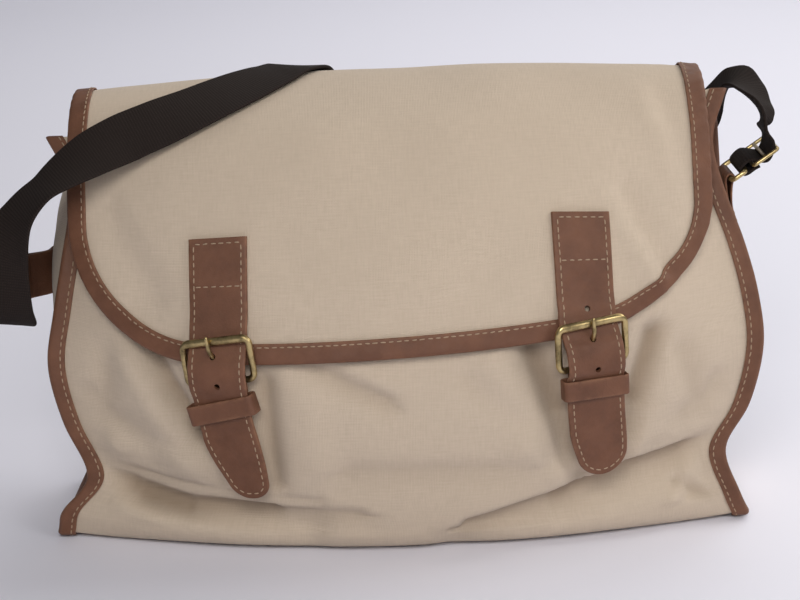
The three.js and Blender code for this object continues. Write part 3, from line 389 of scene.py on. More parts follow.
def body_surface(u, place):
    """Canvas at u from -1 at the left seam to 1 at the right one: full in the middle as a power of u, and
    pressed in by the front's folds, which fade out at the seams."""
    u, place = np.broadcast_arrays(np.asarray(u, float), np.asarray(place, float))
    left, right, side_y, side_z, mid_y, mid_z, tilt = np.moveaxis(body_sections(place), -1, 0)
    full = 1 - np.abs(u) ** BODY_FULLNESS
    level = 1 - np.maximum(0, (np.abs(u) - BASE_FLAT) / (1 - BASE_FLAT)) ** 2
    on_base = (place >= FRONT_CORNER) & (place <= BACK_CORNER)
    x = left + (right - left) * (u + 1) / 2
    seam_z = side_z + u * tilt
    z = seam_z + (mid_z - seam_z) * np.where(on_base, level, full)
    y = side_y + (mid_y - side_y) * full
    pressed = fold_depth(x, z, FRONT_FOLDS) * np.minimum(1, FOLD_FADE * (1 - np.abs(u)))
    return np.stack((x, y - np.where(place < FRONT_CORNER, pressed, 0), z), axis=-1)


def lengths_along(path):
    """Distance along a path at each of its points."""
    return np.concatenate(([0], np.cumsum(np.linalg.norm(np.diff(path, axis=0), axis=-1))))


def even_places(surface, last, rows):
    """Places from 0 to last that are evenly spaced along a surface's line."""
    dense = np.linspace(0, last, 4000)
    length = lengths_along(surface(dense))
    return np.interp(np.linspace(0, length[-1], rows), length, dense)


def soften(grid, passes):
    """Rows averaged with their neighbours, so that sharp bends become small rounds; the end rows stay."""
    grid = grid.copy()
    for _ in range(passes):
        grid[1:-1] = (grid[:-2] + 2 * grid[1:-1] + grid[2:]) / 4
    return grid


def grid_normals(grid):
    """Unit normals of a grid: across its columns times along its rows."""
    return unit(np.cross(np.gradient(grid, axis=1), np.gradient(grid, axis=0)))


def ripple(u, v, seed, shortest, longest, waves=7):
    """Sum of sine waves of several lengths and directions, between about -1 and 1."""
    chosen = np.random.default_rng(seed)
    angle = chosen.uniform(0, 2 * np.pi, waves)
    length = np.geomspace(shortest, longest, waves)
    phase = chosen.uniform(0, 2 * np.pi, waves)
    along = np.multiply.outer(u, np.cos(angle)) + np.multiply.outer(v, np.sin(angle))
    return np.sin(2 * np.pi * along / length + phase).mean(axis=-1) * 1.6


def closed_shell(middle, thickness):
    """Both faces of a wall about its middle surface, joined round the rim; returns points and quads."""
    rows, columns = middle.shape[:2]
    lift = grid_normals(middle) * thickness / 2
    points = np.concatenate(((middle + lift).reshape(-1, 3), (middle - lift).reshape(-1, 3)))
    outer = grid_faces(rows, columns)
    count = rows * columns
    corner = np.arange(count).reshape(rows, columns)
    rim = np.concatenate((corner[0, :-1], corner[:-1, -1], corner[-1, :0:-1], corner[:0:-1, 0]))
    after = np.roll(rim, -1)
    walls = np.stack((after, rim, rim + count, after + count), axis=-1)
    faces = np.concatenate((outer, outer[:, ::-1] + count, walls))
    return points, facing_out(points, faces)


def facing_out(points, faces):
    """Quads turned so that their solid has a positive volume."""
    a, b, c, d = (points[faces[:, index]] for index in range(4))
    volume = np.einsum("ij,ij->", a, np.cross(b, c)) + np.einsum("ij,ij->", a, np.cross(c, d))
    return faces if volume > 0 else faces[:, ::-1]


def cloth_map(middle):
    """Place on the flat cloth: length along the columns and along the rows, in millimetres."""
    across = np.linalg.norm(np.diff(middle, axis=1), axis=-1)
    down = np.linalg.norm(np.diff(middle, axis=0), axis=-1)
    u = np.cumsum(np.pad(across, ((0, 0), (1, 0))), axis=1)
    u -= u[:, u.shape[1] // 2][:, None]
    v = np.cumsum(np.pad(down.mean(axis=1), (1, 0)))[:, None] + np.zeros_like(u)
    return np.stack((u, v), axis=-1)


def new_canvas(name, middle, cloth, crease_shade=0.0):
    """Wall of canvas about a middle surface; both its faces have the same cloth map and the same painted crease
    shade.
    """
    points, faces = closed_shell(middle, CANVAS_THICKNESS)
    painted_shade = np.broadcast_to(crease_shade, middle.shape[:2])
    return new_piece(name, points, faces, canvas, np.concatenate((cloth, cloth)), np.concatenate((painted_shade, painted_shade)))


BODY_ROWS = 250
BODY_COLUMNS = 170
BODY_HALF = 200.0
BODY_LENGTH = 580.0
FIN = 7.0
FIN_COLUMNS = 3
PUCKER_DEPTH = 0.9
PUCKER_PITCH = 13.0
PUCKER_REACH = 14.0
SLACK_DEPTH = 0.9
SEAM_HOLD = 20.0
SEAM_SOFTENING = 3
BILLETS_X = (-100.0, 109.0)
BILLETS_Z = 95.0
BILLET_HOLD_X = 16.0
BILLET_HOLD_Z = 42.0
# Painted shade in the front's creases: its greatest share, and the valley depth at which it is full
CREASE_SHADE_DARKNESS = 0.8
CREASE_DEEP = 8.0
body_places = even_places(lambda place: body_surface(0.75, place), BODY_LAST, BODY_ROWS)
seam_angle = np.linspace(-1, 1, BODY_COLUMNS)
body_u = 0.5 * (seam_angle + np.sin(seam_angle * np.pi / 2))


def outward_sign(sheet):
    """1 where the grid's normals already point away from the bag's middle, or else -1."""
    away = sheet - sheet.mean(axis=(0, 1))
    return 1.0 if (grid_normals(sheet) * away).sum() > 0 else -1.0


def body_sheet():
    """Body's middle surface with fine folds, puckers along the seams and a slack ripple, held flat behind the
    billets and at the base, and how much painted shade darkens its creases."""
    place = body_places[:, None]
    sheet = body_surface(body_u[None, :], place)
    fine = fold_depth(sheet[..., 0], sheet[..., 2], FINE_FOLDS)
    from_seam = (1 - np.abs(body_u))[None, :] * BODY_HALF
    along = np.linspace(0, 1, BODY_ROWS)[:, None] * BODY_LENGTH
    waver = 3 * ripple(along * 0, along, 5, 40, 120)
    gathers = np.sin(2 * np.pi * along / PUCKER_PITCH + waver)
    pucker = PUCKER_DEPTH * np.exp(-from_seam / PUCKER_REACH) * gathers
    slack = SLACK_DEPTH * ripple(sheet[..., 0], along + 0 * sheet[..., 0], 11, 45, 190)
    wide = np.minimum(1, from_seam / SEAM_HOLD)
    on_front = np.where(place < FRONT_CORNER - 1, 1.0, 0.0)
    off_base = np.where((place > FRONT_CORNER - 2) & (place < BACK_CORNER + 1), 0.0, 1.0)
    behind_billets = sum(np.exp(-(((sheet[..., 0] - x) / BILLET_HOLD_X) ** 6)) for x in BILLETS_X)
    held = np.exp(-(((sheet[..., 2] - BILLETS_Z) / BILLET_HOLD_Z) ** 4)) * on_front * behind_billets
    move = (fine * wide * on_front + pucker * wide + slack * wide) * off_base * (1 - held)
    sheet = soften(sheet, SEAM_SOFTENING)
    sheet = sheet + grid_normals(sheet) * move[..., None] * outward_sign(sheet)
    # Painted shade: the deeper a fine valley, the darker and browner its canvas
    crease_shade = CREASE_SHADE_DARKNESS * np.clip(-fine / CREASE_DEEP, 0, 1) ** 1.7 * wide * on_front
    return sheet, crease_shade


body_middle, body_crease_shade = body_sheet()
fin_reach = np.linspace(0, FIN, FIN_COLUMNS + 1)[1:]
left_fin = body_middle[:, :1] + np.array([-1.0, 0, 0]) * fin_reach[::-1, None]
right_fin = body_middle[:, -1:] + np.array([1.0, 0, 0]) * fin_reach[:, None]
body_with_fins = np.concatenate((left_fin, body_middle, right_fin), axis=1)
# No painted crease shade on the seam fins
body_crease_shade = np.pad(body_crease_shade, ((0, 0), (FIN_COLUMNS, FIN_COLUMNS)))
body = new_canvas("body_canvas", body_with_fins, cloth_map(body_with_fins), body_crease_shade)
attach(body, "root")
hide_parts("body_panel")

# Gussets: the two canvas ends. Each is sewn to the body with the seam turned outwards, so its edge stands up
# in a lip along the front, the base and the back, and its middle is slack and bulges.
GUSSET_BULGE = np.array([
    # height, left, right
    (0, 0, 0),
    (14, 0, 0),
    (60, 6, 5),
    (175, 20, 8),
    (260, 6, 4),
])
GUSSET_FRONT = np.array([0, 1, 2, 3, 4, 4.5, 5, 5.5, 6, 6.5, 7, 7.5, 8, 9, 10])
GUSSET_BACK = np.array([17, 16.67, 16.33, 16, 15.75, 15.5, 15.25, 15, 14.67, 14.33, 14, 13.67, 13.33, 13, 12])
GUSSET_ROWS = 130
GUSSET_COLUMNS = 60
GUSSET_CREASE = 1.6
BASE_CROWDING = 1.6
SEAM_LAYER = 1.5
LIP_REACH = 5.0
LIP_WIDTH = 1.6
TAB_MIDDLES = {-1: 157.0, 1: 180.0}
TAB_HOLD = 26.0
SIDES = ((-1, "left"), (1, "right"))


def end_seam(side):
    """Line of an end seam, softened as the body is, and the outward direction square to it."""
    line = soften(body_surface(side, body_places)[:, None], SEAM_SOFTENING)[:, 0]
    run = np.gradient(line, axis=0)
    outward = np.stack((np.zeros(len(run)), run[:, 2], -run[:, 1]), axis=-1)
    return line, unit(outward)


def read_line(line, places, at):
    """Points of a line at places between the places of its points."""
    return np.stack([np.interp(at, places, line[:, axis]) for axis in range(line.shape[1])], axis=-1)


def eased_rows(table, height, column):
    """Column of a table against its first column, eased from row to row."""
    row = np.clip(np.searchsorted(table[:, 0], height) - 1, 0, len(table) - 2)
    t = np.clip((height - table[row, 0]) / (table[row + 1, 0] - table[row, 0]), 0, 1)
    return table[row, column] + (table[row + 1, column] - table[row, column]) * t * t * (3 - 2 * t)


gusset_share = 0.5 - 0.5 * np.cos(np.linspace(0, np.pi, GUSSET_COLUMNS))


def gusset_base(side, share=gusset_share):
    """Straight lines from the front seam to the back one, each bulging outwards half way as a sine."""
    line, outward = end_seam(side)
    inner = line - SEAM_LAYER * outward
    row = (1 - (1 - np.linspace(0, 1, GUSSET_ROWS)) ** BASE_CROWDING) * (len(GUSSET_FRONT) - 1)
    step = np.arange(len(GUSSET_FRONT))
    front = read_line(inner, body_places, np.interp(row, step, GUSSET_FRONT))
    back = read_line(inner, body_places, np.interp(row, step, GUSSET_BACK))
    sheet = front[:, None] + (back - front)[:, None] * share[None, :, None]
    bulge = eased_rows(GUSSET_BULGE, sheet[..., 2], 1 if side < 0 else 2)
    sheet[..., 0] += side * bulge * np.sin(np.pi * share)
    return sheet


def gusset_sheet(side):
    """Gusset with soft creases, and a lip that falls off exponentially with the distance from the seams."""
    sheet = gusset_base(side)
    width = np.linalg.norm(sheet[:, -1] - sheet[:, 0], axis=-1)[:, None]
    from_base = np.maximum(sheet[..., 2] - sheet[-1:, :, 2], 0)
    nearest = np.minimum(np.minimum(gusset_share, 1 - gusset_share) * width, from_base)
    under_tab = np.exp(-(((sheet[..., 2] - TAB_MIDDLES[side]) / TAB_HOLD) ** 4))
    waves = ripple(sheet[..., 1], sheet[..., 2], 23 + side, 30, 110)
    creases = GUSSET_CREASE * waves * np.minimum(1, nearest / 14)
    sheet[..., 0] += side * (LIP_REACH * np.exp(-nearest / LIP_WIDTH) + creases * (1 - under_tab))
    return sheet


for side, side_name in SIDES:
    gusset_middle = gusset_sheet(side)
    gusset = new_canvas(f"gusset_canvas_{side_name}", gusset_middle, cloth_map(gusset_middle))
    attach(gusset, "root")
    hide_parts(f"gusset_{side_name}")


# Side bindings: strips of thin brown leather folded over the seams of the two ends and sewn through, from the
# mouth down the front, under the base and up the back.
LEATHER_COLOUR = (0.168, 0.072, 0.039, 1.0)
LEATHER_DARK = (0.110, 0.045, 0.024, 1.0)
LEATHER_WORN = (0.255, 0.124, 0.070, 1.0)
LEATHER_THICKNESS = 1.2
SIDE_BINDING_REACH = 8.3
SIDE_BINDING_HALF = 2.25
SIDE_BINDING_INNER = 3.7
PIECE_GAP = 0.3
SKIVED_END = 0.45
SKIVED_NEXT = 0.85
RUBBED_REACH = 0.9
RUBBED_TURN = 0.7


def leather_finish():
    """Grain as small cells with pores, tone as noise, and paler patches by the share of wear."""
    finish = Finish("leather")
    place = finish.add("TexCoord", "Object")
    tone = finish.spread(finish.noise(55.0, 6.0, place, 0.62), 0.3, 0.7)
    patch = finish.noise(210.0, 3.0, place)
    edge = finish.add("Attribute", "Fac", attribute_name="wear_and_crease_shade")
    rubbed = finish.join("MULTIPLY", edge, finish.spread(patch, 0.35, 0.7))
    cells = finish.add("TexVoronoi", "Distance", {"Vector": place, "Scale": 950.0})
    grain = finish.join("ADD", cells, finish.noise(2400.0, 2.0, place))
    return finish.shade({
        "Base Color": finish.mix(rubbed, finish.mix(tone, LEATHER_DARK, LEATHER_COLOUR), LEATHER_WORN),
        "Normal": finish.bump(grain, 0.3, 0.3),
        "Roughness": finish.spread(patch, 0.3, 0.7, 0.5, 0.68),
        "Specular IOR Level": 0.35,
    })


leather = leather_finish()


def folded_profile(outer_start, inner_start, turn_at, half):
    """Leather folded over an edge, in reach and lift: a leaf, half a circle and a leaf. Gives the outer and the
    inner line, and the share of wear."""
    leaf = np.array([0.0, 0.25, 0.7])
    outer = np.concatenate((outer_start + leaf, np.linspace(outer_start + 2, turn_at, 5)))
    inner = np.concatenate((np.linspace(turn_at, inner_start + 2, 5), inner_start + leaf[::-1]))
    angle = np.linspace(np.pi / 2, -np.pi / 2, 11)[1:-1]
    reach = np.concatenate((outer, turn_at + half * np.cos(angle), inner))
    lift = half * np.concatenate((np.ones(len(outer)), np.sin(angle), -np.ones(len(inner))))
    out_reach = np.concatenate((0 * outer, np.cos(angle), 0 * inner))
    out_lift = lift / half
    share = np.ones(len(reach))
    share[[0, -1]] = SKIVED_END
    share[[1, -2]] = SKIVED_NEXT
    offset = (share * LEATHER_THICKNESS / 2)[:, None] * np.stack((out_reach, out_lift), axis=-1)
    centre = np.stack((reach, lift), axis=-1)
    at_edge = np.exp(-(reach - outer_start) / RUBBED_REACH) * (lift > 0)
    wear_and_crease_shade = np.maximum(at_edge, RUBBED_TURN * np.maximum(out_reach, 0) ** 2)
    return centre + offset, centre - offset, wear_and_crease_shade


def band_faces(rows, columns, cyclic):
    """Quads of a flat tube: each row holds its top from side to side, then its bottom back again."""
    corner = np.arange(rows * 2 * columns).reshape(rows, 2 * columns)
    after = np.roll(corner, -1, axis=1)
    if cyclic:
        quads = (corner, after, np.roll(after, -1, axis=0), np.roll(corner, -1, axis=0))
        return np.stack(quads, axis=-1).reshape(-1, 4)
    sides = np.stack((corner[:-1], after[:-1], after[1:], corner[1:]), axis=-1).reshape(-1, 4)
    column = np.arange(columns - 1)
    cap = np.stack((column, column + 1, 2 * columns - 2 - column, 2 * columns - 1 - column), axis=-1)
    return np.concatenate((sides, cap[:, ::-1], cap + (rows - 1) * 2 * columns))


def new_band(name, top, bottom, material, across, along, wear_and_crease_shade, cyclic=False):
    """Piece between a top and a bottom grid, closed round its sides; across and along give its cloth map."""
    rows, columns = top.shape[:2]

    def both(values):
        """Values of a grid for its top and its bottom."""
        grid = np.broadcast_to(values, (rows, columns))
        return np.concatenate((grid, grid[:, ::-1]), axis=1)

    points = np.concatenate((top, bottom[:, ::-1]), axis=1).reshape(-1, 3)
    faces = facing_out(points, band_faces(rows, columns, cyclic))
    return new_piece(name, points, faces, material, np.stack((both(across), both(along)), axis=-1), both(wear_and_crease_shade))


def beside_seam(side, reach, lift):
    """Points at a reach past an end seam and a lift off the middle of its two canvases."""
    line, outward = end_seam(side)
    past = np.array([side, 0.0, 0.0]) * reach[None, :, None]
    return line[:, None] + outward[:, None] * (lift - SEAM_LAYER / 2)[None, :, None] + past


def new_binding(name, place, profile):
    """Folded strip of leather along an edge, where place gives the points at a reach and a lift beside it."""
    outer, inner, wear_and_crease_shade = profile
    top, bottom = (place(outline[:, 0], outline[:, 1]) for outline in (outer, inner))
    return new_band(name, top, bottom, leather, outer[None, :, 0], lengths_along(top[:, 0])[:, None], wear_and_crease_shade)


side_profile = folded_profile(PIECE_GAP, SIDE_BINDING_INNER, SIDE_BINDING_REACH, SIDE_BINDING_HALF)
for side, side_name in SIDES:
    side_binding = new_binding(f"binding_leather_{side_name}", partial(beside_seam, side), side_profile)
    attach(side_binding, "root")
    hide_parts(f"side_binding_{side_name}")


# Flap: canvas sewn on behind, over the top and down the front, with round lower corners. It hangs over the full
# body, a little lower on the left, with soft pulls towards the right buckle and hollows on the left.
FLAP_LEFT = -196.0
FLAP_RIGHT = 185.0
FLAP_CORNER = 80.0
FLAP_FULLNESS = 2.2
FLAP_SECTIONS = np.array([
    # mid_y, mid_z, side_y, side_z, tilt
    (61, 234, 60, 229, 2),
    (55, 263, 54, 255, 2.5),
    (36, 277, 34, 270, 2.5),
    (5, 272, 8, 266, 2.5),
    (-34, 255, -13, 247, 2),
    (-57, 233, -25, 226, 2),
    (-76, 205, -34, 200, 3),
    (-92, 172, -43, 170, 6),
    (-100, 144, -47, 145, 9),
    (-102.5, 134, -49, 136, 9.5),
])
FLAP_FOLDS = np.array([
    # from_x, from_z, to_x, to_z, above, below, depth
    (148, 268, 171, 204, 8, 8, 1.8),
    (158, 262, 180, 200, 9, 9, -2.2),
    (124, 206, 152, 160, 5, 7, 3.6),
    (132, 214, 158, 170, 9, 7, -3.6),
    (-170, 250, -150, 196, 14, 14, -1.4),
    (-178, 216, -150, 166, 15, 15, -4.5),
    (-70, 196, -40, 150, 16, 16, -1.4),
    (60, 190, 30, 146, 16, 16, -1.4),
])
UNDER_WEBBING = np.array([
    # from_x, from_z, to_x, to_z, above, below, depth
    (-210, 224, -141, 259, 30, 30, 1),
    (-141, 259, -60, 281, 30, 30, 1),
])
FLAP_ROWS = 110
FLAP_CORNER_ROWS = 46
FLAP_COLUMNS = 120
FLAP_SLACK = 1.1
FLAP_PUCKER = 0.2
FLAP_PUCKER_PITCH = 12.5
FLAP_PUCKER_REACH = 16.0
FLAP_STRAPS_X = (-105.0, 105.5)
FLAP_CENTRE = (FLAP_LEFT + FLAP_RIGHT) / 2
FLAP_HALF = (FLAP_RIGHT - FLAP_LEFT) / 2
FLAP_LAST = len(FLAP_SECTIONS) - 1
flap_places = np.linspace(0, FLAP_LAST, 401)
flap_ruler = lengths_along(smooth_rows(FLAP_SECTIONS, flap_places, 0, FLAP_LAST)[:, :2])
FLAP_LENGTH = flap_ruler[-1]


def flap_base(x, length):
    """Flap at a distance x from its middle line and a length from its sewn edge: full in the middle, tilted."""
    x, length = np.broadcast_arrays(np.asarray(x, float), np.asarray(length, float))
    place = np.interp(length, flap_ruler, flap_places)
    mid_y, mid_z, side_y, side_z, tilt = np.moveaxis(smooth_rows(FLAP_SECTIONS, place, 0, FLAP_LAST), -1, 0)
    u = x / FLAP_HALF
    full = 1 - np.abs(u) ** FLAP_FULLNESS
    y = side_y + (mid_y - side_y) * full
    z = side_z + (mid_z - side_z) * full + u * tilt
    return np.stack((FLAP_CENTRE + x, y, z), axis=-1)


def flap_normal(x, length):
    """Outward direction of the flap, from differences over half a millimetre."""
    step = 0.5
    held = np.clip(length, step, FLAP_LENGTH - step)
    across = flap_base(x + step, held) - flap_base(x - step, held)
    down = flap_base(x, held + step) - flap_base(x, held - step)
    return unit(np.cross(down, across))


def flap_cloth(x, length):
    """Flap with its pulls, a slack ripple and puckers along the bound edges; it lies flat under the straps and
    the webbing."""
    x, length = np.broadcast_arrays(np.asarray(x, float), np.asarray(length, float))
    base = flap_base(x, length)
    down = length / FLAP_LENGTH
    on_front = np.clip((down - 0.3) / 0.15, 0, 1)
    from_edge = np.maximum(np.minimum(FLAP_HALF - np.abs(x), FLAP_LENGTH - length), 0)
    pulls = fold_depth(base[..., 0], base[..., 2], FLAP_FOLDS) * on_front * np.clip(from_edge / 25, 0, 1)
    slack = FLAP_SLACK * ripple(x, length, 31, 60, 240)
    gathers = np.sin(2 * np.pi * (x + length) / FLAP_PUCKER_PITCH + 2.5 * ripple(x, length, 7, 50, 90))
    pucker = FLAP_PUCKER * np.exp(-from_edge / FLAP_PUCKER_REACH) * gathers
    under_straps = sum(np.exp(-(((base[..., 0] - strap_x) / 23) ** 4)) for strap_x in FLAP_STRAPS_X)
    free = 1 - under_straps * np.clip((down - 0.55) / 0.08, 0, 1)
    free = free * (1 - fold_depth(base[..., 0], base[..., 2], UNDER_WEBBING))
    move = (pulls + slack * np.clip(from_edge / 30, 0.1, 1) + pucker) * free
    return base + flap_normal(x, length) * move[..., None]


corner_angle = np.linspace(0, np.pi / 2, FLAP_CORNER_ROWS + 1)[1:]
straight = np.linspace(0, FLAP_LENGTH - FLAP_CORNER, FLAP_ROWS)
flap_lengths = np.concatenate((straight, FLAP_LENGTH - FLAP_CORNER * (1 - np.sin(corner_angle))))
flap_halves = np.concatenate((0 * straight + FLAP_HALF, FLAP_HALF - FLAP_CORNER * (1 - np.cos(corner_angle))))
flap_out_x = np.concatenate((0 * straight + 1, np.cos(corner_angle)))
flap_out_length = np.concatenate((0 * straight, np.sin(corner_angle)))
flap_x = flap_halves[:, None] * np.linspace(-1, 1, FLAP_COLUMNS)
flap_map = np.stack((flap_x, flap_lengths[:, None] + 0 * flap_x), axis=-1)
flap = new_canvas("flap_canvas", flap_cloth(flap_x, flap_lengths[:, None]), flap_map)
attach(flap, "root")
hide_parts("flap")

# Flap binding: the same thin leather in one strip, folded over the flap's two sides, round corners and lower
# edge and sewn through near its inner edges.
FLAP_BINDING_WIDTH = 10.0
FLAP_BINDING_HALF = 1.8
FLAP_LOWER_POINTS = 90
lower_x = np.linspace(-flap_halves[-1], flap_halves[-1], FLAP_LOWER_POINTS)[1:-1]
outline_x = np.concatenate((-flap_halves, lower_x, flap_halves[::-1]))
outline_length = np.concatenate((flap_lengths, 0 * lower_x + FLAP_LENGTH, flap_lengths[::-1]))
outline_out_x = np.concatenate((-flap_out_x, 0 * lower_x, flap_out_x[::-1]))
outline_out_length = np.concatenate((flap_out_length, 0 * lower_x + 1, flap_out_length[::-1]))


def beside_flap_edge(reach, lift):
    """Points at a reach past the flap's edge, below zero on the flap, and a lift off its canvas."""
    inside = np.minimum(reach, 0)[None, :]
    x = outline_x[:, None] + outline_out_x[:, None] * inside
    length = outline_length[:, None] + outline_out_length[:, None] * inside
    edge = flap_cloth(outline_x, outline_length)
    outward = unit(edge - flap_cloth(outline_x - outline_out_x, outline_length - outline_out_length))
    past = outward[:, None] * np.maximum(reach, 0)[None, :, None]
    return flap_cloth(x, length) + flap_normal(x, length) * lift[None, :, None] + past


binding_start = PIECE_GAP - FLAP_BINDING_WIDTH
flap_profile = folded_profile(binding_start, binding_start, PIECE_GAP, FLAP_BINDING_HALF)
flap_binding = new_binding("flap_binding_leather", beside_flap_edge, flap_profile)
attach(flap_binding, "root")
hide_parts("flap_binding")

# Flap straps: thick brown leather, sewn on the flap, led behind the buckle's top bar and through the keeper.
# Their tips are rounded, more on the left side, and their holes are punched.
STRAP_WIDTH = 35.5
STRAP_THICKNESS = 2.4
HOLE_PITCH = 17.0
HOLE_DIAMETER = 3.6
HOLES_BELOW = 2
PRONG_HOLE_DROP = 8.0
DRILL_REACH = 4.0
BAR_STANDOFF = 9.4
HEEL_STANDOFF = 7.8
FRAME_DROP = 25.0
FRAME_WIRE = 4.0
PRONG_WIRE = 2.6
PRONG_CLEAR = 0.5
WIRE_SIDES = 12
CUT_ANGLE = np.radians(50)
ACROSS_STEP = 12.0
SHARE_STEP = 0.06
PLACE_STEP = 0.02


def halved(low, high, is_above):
    """Value between low and high where is_above turns false, by halving."""
    for _ in range(40):
        middle = np.float64((low + high) / 2)
        low, high = (middle, high) if is_above(middle) else (low, middle)
    return middle


def flap_spot(x, z):
    """Point, outward direction and across direction of the flap at an x and a height."""
    local = x - FLAP_CENTRE
    length = halved(FLAP_LENGTH * 0.35, FLAP_LENGTH, lambda middle: flap_base(local, middle)[2] > z)
    across = flap_base(local + ACROSS_STEP, length) - flap_base(local - ACROSS_STEP, length)
    return flap_base(local, length), flap_normal(local, length), unit(across)


def front_spot(x, z):
    """The same on the body's front."""

    def share(place):
        """Place from seam to seam at x."""
        left, right = body_sections(place)[:2]
        return 2 * (x - left) / (right - left) - 1

    place = halved(0.0, FRONT_CORNER, lambda middle: body_surface(share(middle), middle)[2] > z)
    u = share(place)
    across = unit(body_surface(u + SHARE_STEP, place) - body_surface(u - SHARE_STEP, place))
    down = body_surface(u, place + PLACE_STEP) - body_surface(u, place - PLACE_STEP)
    return body_surface(u, place), unit(np.cross(down, across)), across


def turned(vector, axis, degrees):
    """Vector square to an axis, turned about it."""
    return vector * np.cos(np.radians(degrees)) + np.cross(axis, vector) * np.sin(np.radians(degrees))


@dataclass
class Fastening:
    """One strap with its buckle: stops over the flap, over the front and in the plane of the buckle."""

    name: str
    top_x: float
    bar_x: float
    keeper_x: float
    tip_x: float
    top_z: float
    bar_z: float
    tip_z: float
    holes_above: int
    frame_turn: float
    frame_lean: float
    prong_lean: float
    keeper_turn: float
    keeper_clear: float
    keeper_drop: float
    tip_left: tuple
    tip_right: tuple

    def __post_init__(self):
        self.heel_z = self.bar_z - FRAME_DROP
        self.keeper_z = self.heel_z - self.keeper_drop
        bar, bar_across = self.on_flap(self.bar_z, BAR_STANDOFF)
        self.heel = self.on_front(self.heel_z, HEEL_STANDOFF)[0]
        self.height = np.linalg.norm(bar - self.heel)
        self.up = (bar - self.heel) / self.height
        self.across = unit(bar_across - self.up * (bar_across @ self.up))
        self.out = np.cross(self.across, self.up)
        self.askew_across = turned(self.across, self.out, self.frame_turn)
        self.askew_up = turned(self.up, self.out, self.frame_lean)

    def strap_x(self, z):
        """Strap's middle line: straight from its top to the bar, on to the keeper and on to its tip."""
        heights = (self.tip_z, self.keeper_z, self.bar_z, self.top_z)
        return np.interp(z, heights, (self.tip_x, self.keeper_x, self.bar_x, self.top_x))

    def on_flap(self, z, lift):
        """Stop at a lift over the flap."""
        point, normal, across = flap_spot(self.strap_x(z), z)
        return point + normal * lift, across

    def on_front(self, z, lift):
        """Stop at a lift over the body's front."""
        point, normal, across = front_spot(self.strap_x(z), z)
        return point + normal * lift, across

    def in_frame(self, outward, upward):
        """Stop before the heel bar by outward, and above it by upward."""
        return self.heel + self.out * outward + self.up * upward, self.across

    def askew(self, outward, upward):
        """The same, in the frame as it hangs askew."""
        middle = self.in_frame(outward, self.height / 2)[0]
        return middle + self.askew_up * (upward - self.height / 2), self.askew_across


FASTENINGS = (
    Fastening(
        "left", top_x=-105.3, bar_x=-105.6, keeper_x=-102.8, tip_x=-94, top_z=197, bar_z=141, tip_z=45.6,
        holes_above=0, frame_turn=8.5, frame_lean=1, prong_lean=-3.5, keeper_turn=16, keeper_clear=6,
        keeper_drop=15, tip_left=(14, 40, 8), tip_right=(1, 20, 9),
    ),
    Fastening(
        "right", top_x=104.7, bar_x=106, keeper_x=108.8, tip_x=113, top_z=205, bar_z=144.5, tip_z=52.7,
        holes_above=1, frame_turn=0, frame_lean=0, prong_lean=0, keeper_turn=1, keeper_clear=2.6,
        keeper_drop=12, tip_left=(7, 30, 11), tip_right=(2, 20, 13),
    ),
)


def smooth_path(stops, steps=24):
    """Centripetal cubic curve through stops: each span takes the root of its length as its time."""
    padded = np.concatenate((2 * stops[:1] - stops[1:2], stops, 2 * stops[-1:] - stops[-2:-1]))
    time = np.concatenate(([0], np.cumsum(np.sqrt(np.linalg.norm(np.diff(padded, axis=0), axis=-1)))))
    count = (len(stops) - 1) * steps
    span = np.minimum(np.arange(count + 1) // steps, len(stops) - 2)
    share = (np.arange(count + 1) / steps - span)[:, None]
    t = [time[span + k][:, None] for k in range(4)]
    now = t[1] + (t[2] - t[1]) * share
    layer = [padded[span + k] for k in range(4)]
    for width in (1, 2):
        layer = [
            (layer[k] * (t[k + width] - now) + layer[k + 1] * (now - t[k])) / (t[k + width] - t[k])
            for k in range(4 - width)
        ]
    return (layer[0] * (t[2] - now) + layer[1] * (now - t[1])) / (t[2] - t[1])


def ribbon(route, step, ease=1.0):
    """Lengths, points, across directions and face directions along the curve through a route's stops; ease
    crowds the points at its end."""
    stops, across = (np.array(column) for column in zip(*route))
    path = smooth_path(stops)
    turns = read_line(unit(across), np.arange(len(stops)), np.linspace(0, len(stops) - 1, len(path)))
    length = lengths_along(path)
    at = length[-1] * (1 - np.linspace(1, 0, int(length[-1] / step) + 1) ** ease)
    centre = read_line(path, length, at)
    run = unit(np.gradient(centre, axis=0))
    wide = soften(read_line(turns, length, at), 6)
    wide = unit(wide - run * (wide * run).sum(axis=-1, keepdims=True))
    return at, centre, wide, np.cross(run, wide)


RIM_ANGLES = np.radians([15, 40, 65, 90])


def strap_grids(centre, wide, face, left, right, thickness):
    """Top and bottom of a strap between its edges, with rims rounded over half its thickness."""
    left, right = (np.broadcast_to(edge, len(centre))[:, None] for edge in (left, right))
    rim = np.minimum(thickness / 2, 0.45 * (right - left))
    inset = rim * (1 - np.cos(RIM_ANGLES))
    flat = np.linspace(0, 1, 9)[1:-1]
    lateral = np.concatenate(
        (left + inset, left + rim + (right - left - 2 * rim) * flat, (right - inset)[:, ::-1]), axis=1
    )
    half = np.concatenate((np.sin(RIM_ANGLES), 0 * flat + 1, np.sin(RIM_ANGLES)[::-1])) * thickness / 2
    middle = centre[:, None] + wide[:, None] * lateral[..., None]
    lift = face[:, None] * half[None, :, None]
    return middle + lift, middle - lift, lateral, np.exp(-np.minimum(lateral - left, right - lateral) / 1.1)


def new_strap(name, line, left, right, thickness, material, cyclic=False):
    """Strap between its two edges along a line of lengths, points, across directions and face directions."""
    at, centre, wide, face = line
    top, bottom, lateral, wear_and_crease_shade = strap_grids(centre, wide, face, left, right, thickness)
    return new_band(name, top, bottom, material, lateral, at[:, None], wear_and_crease_shade, cyclic)


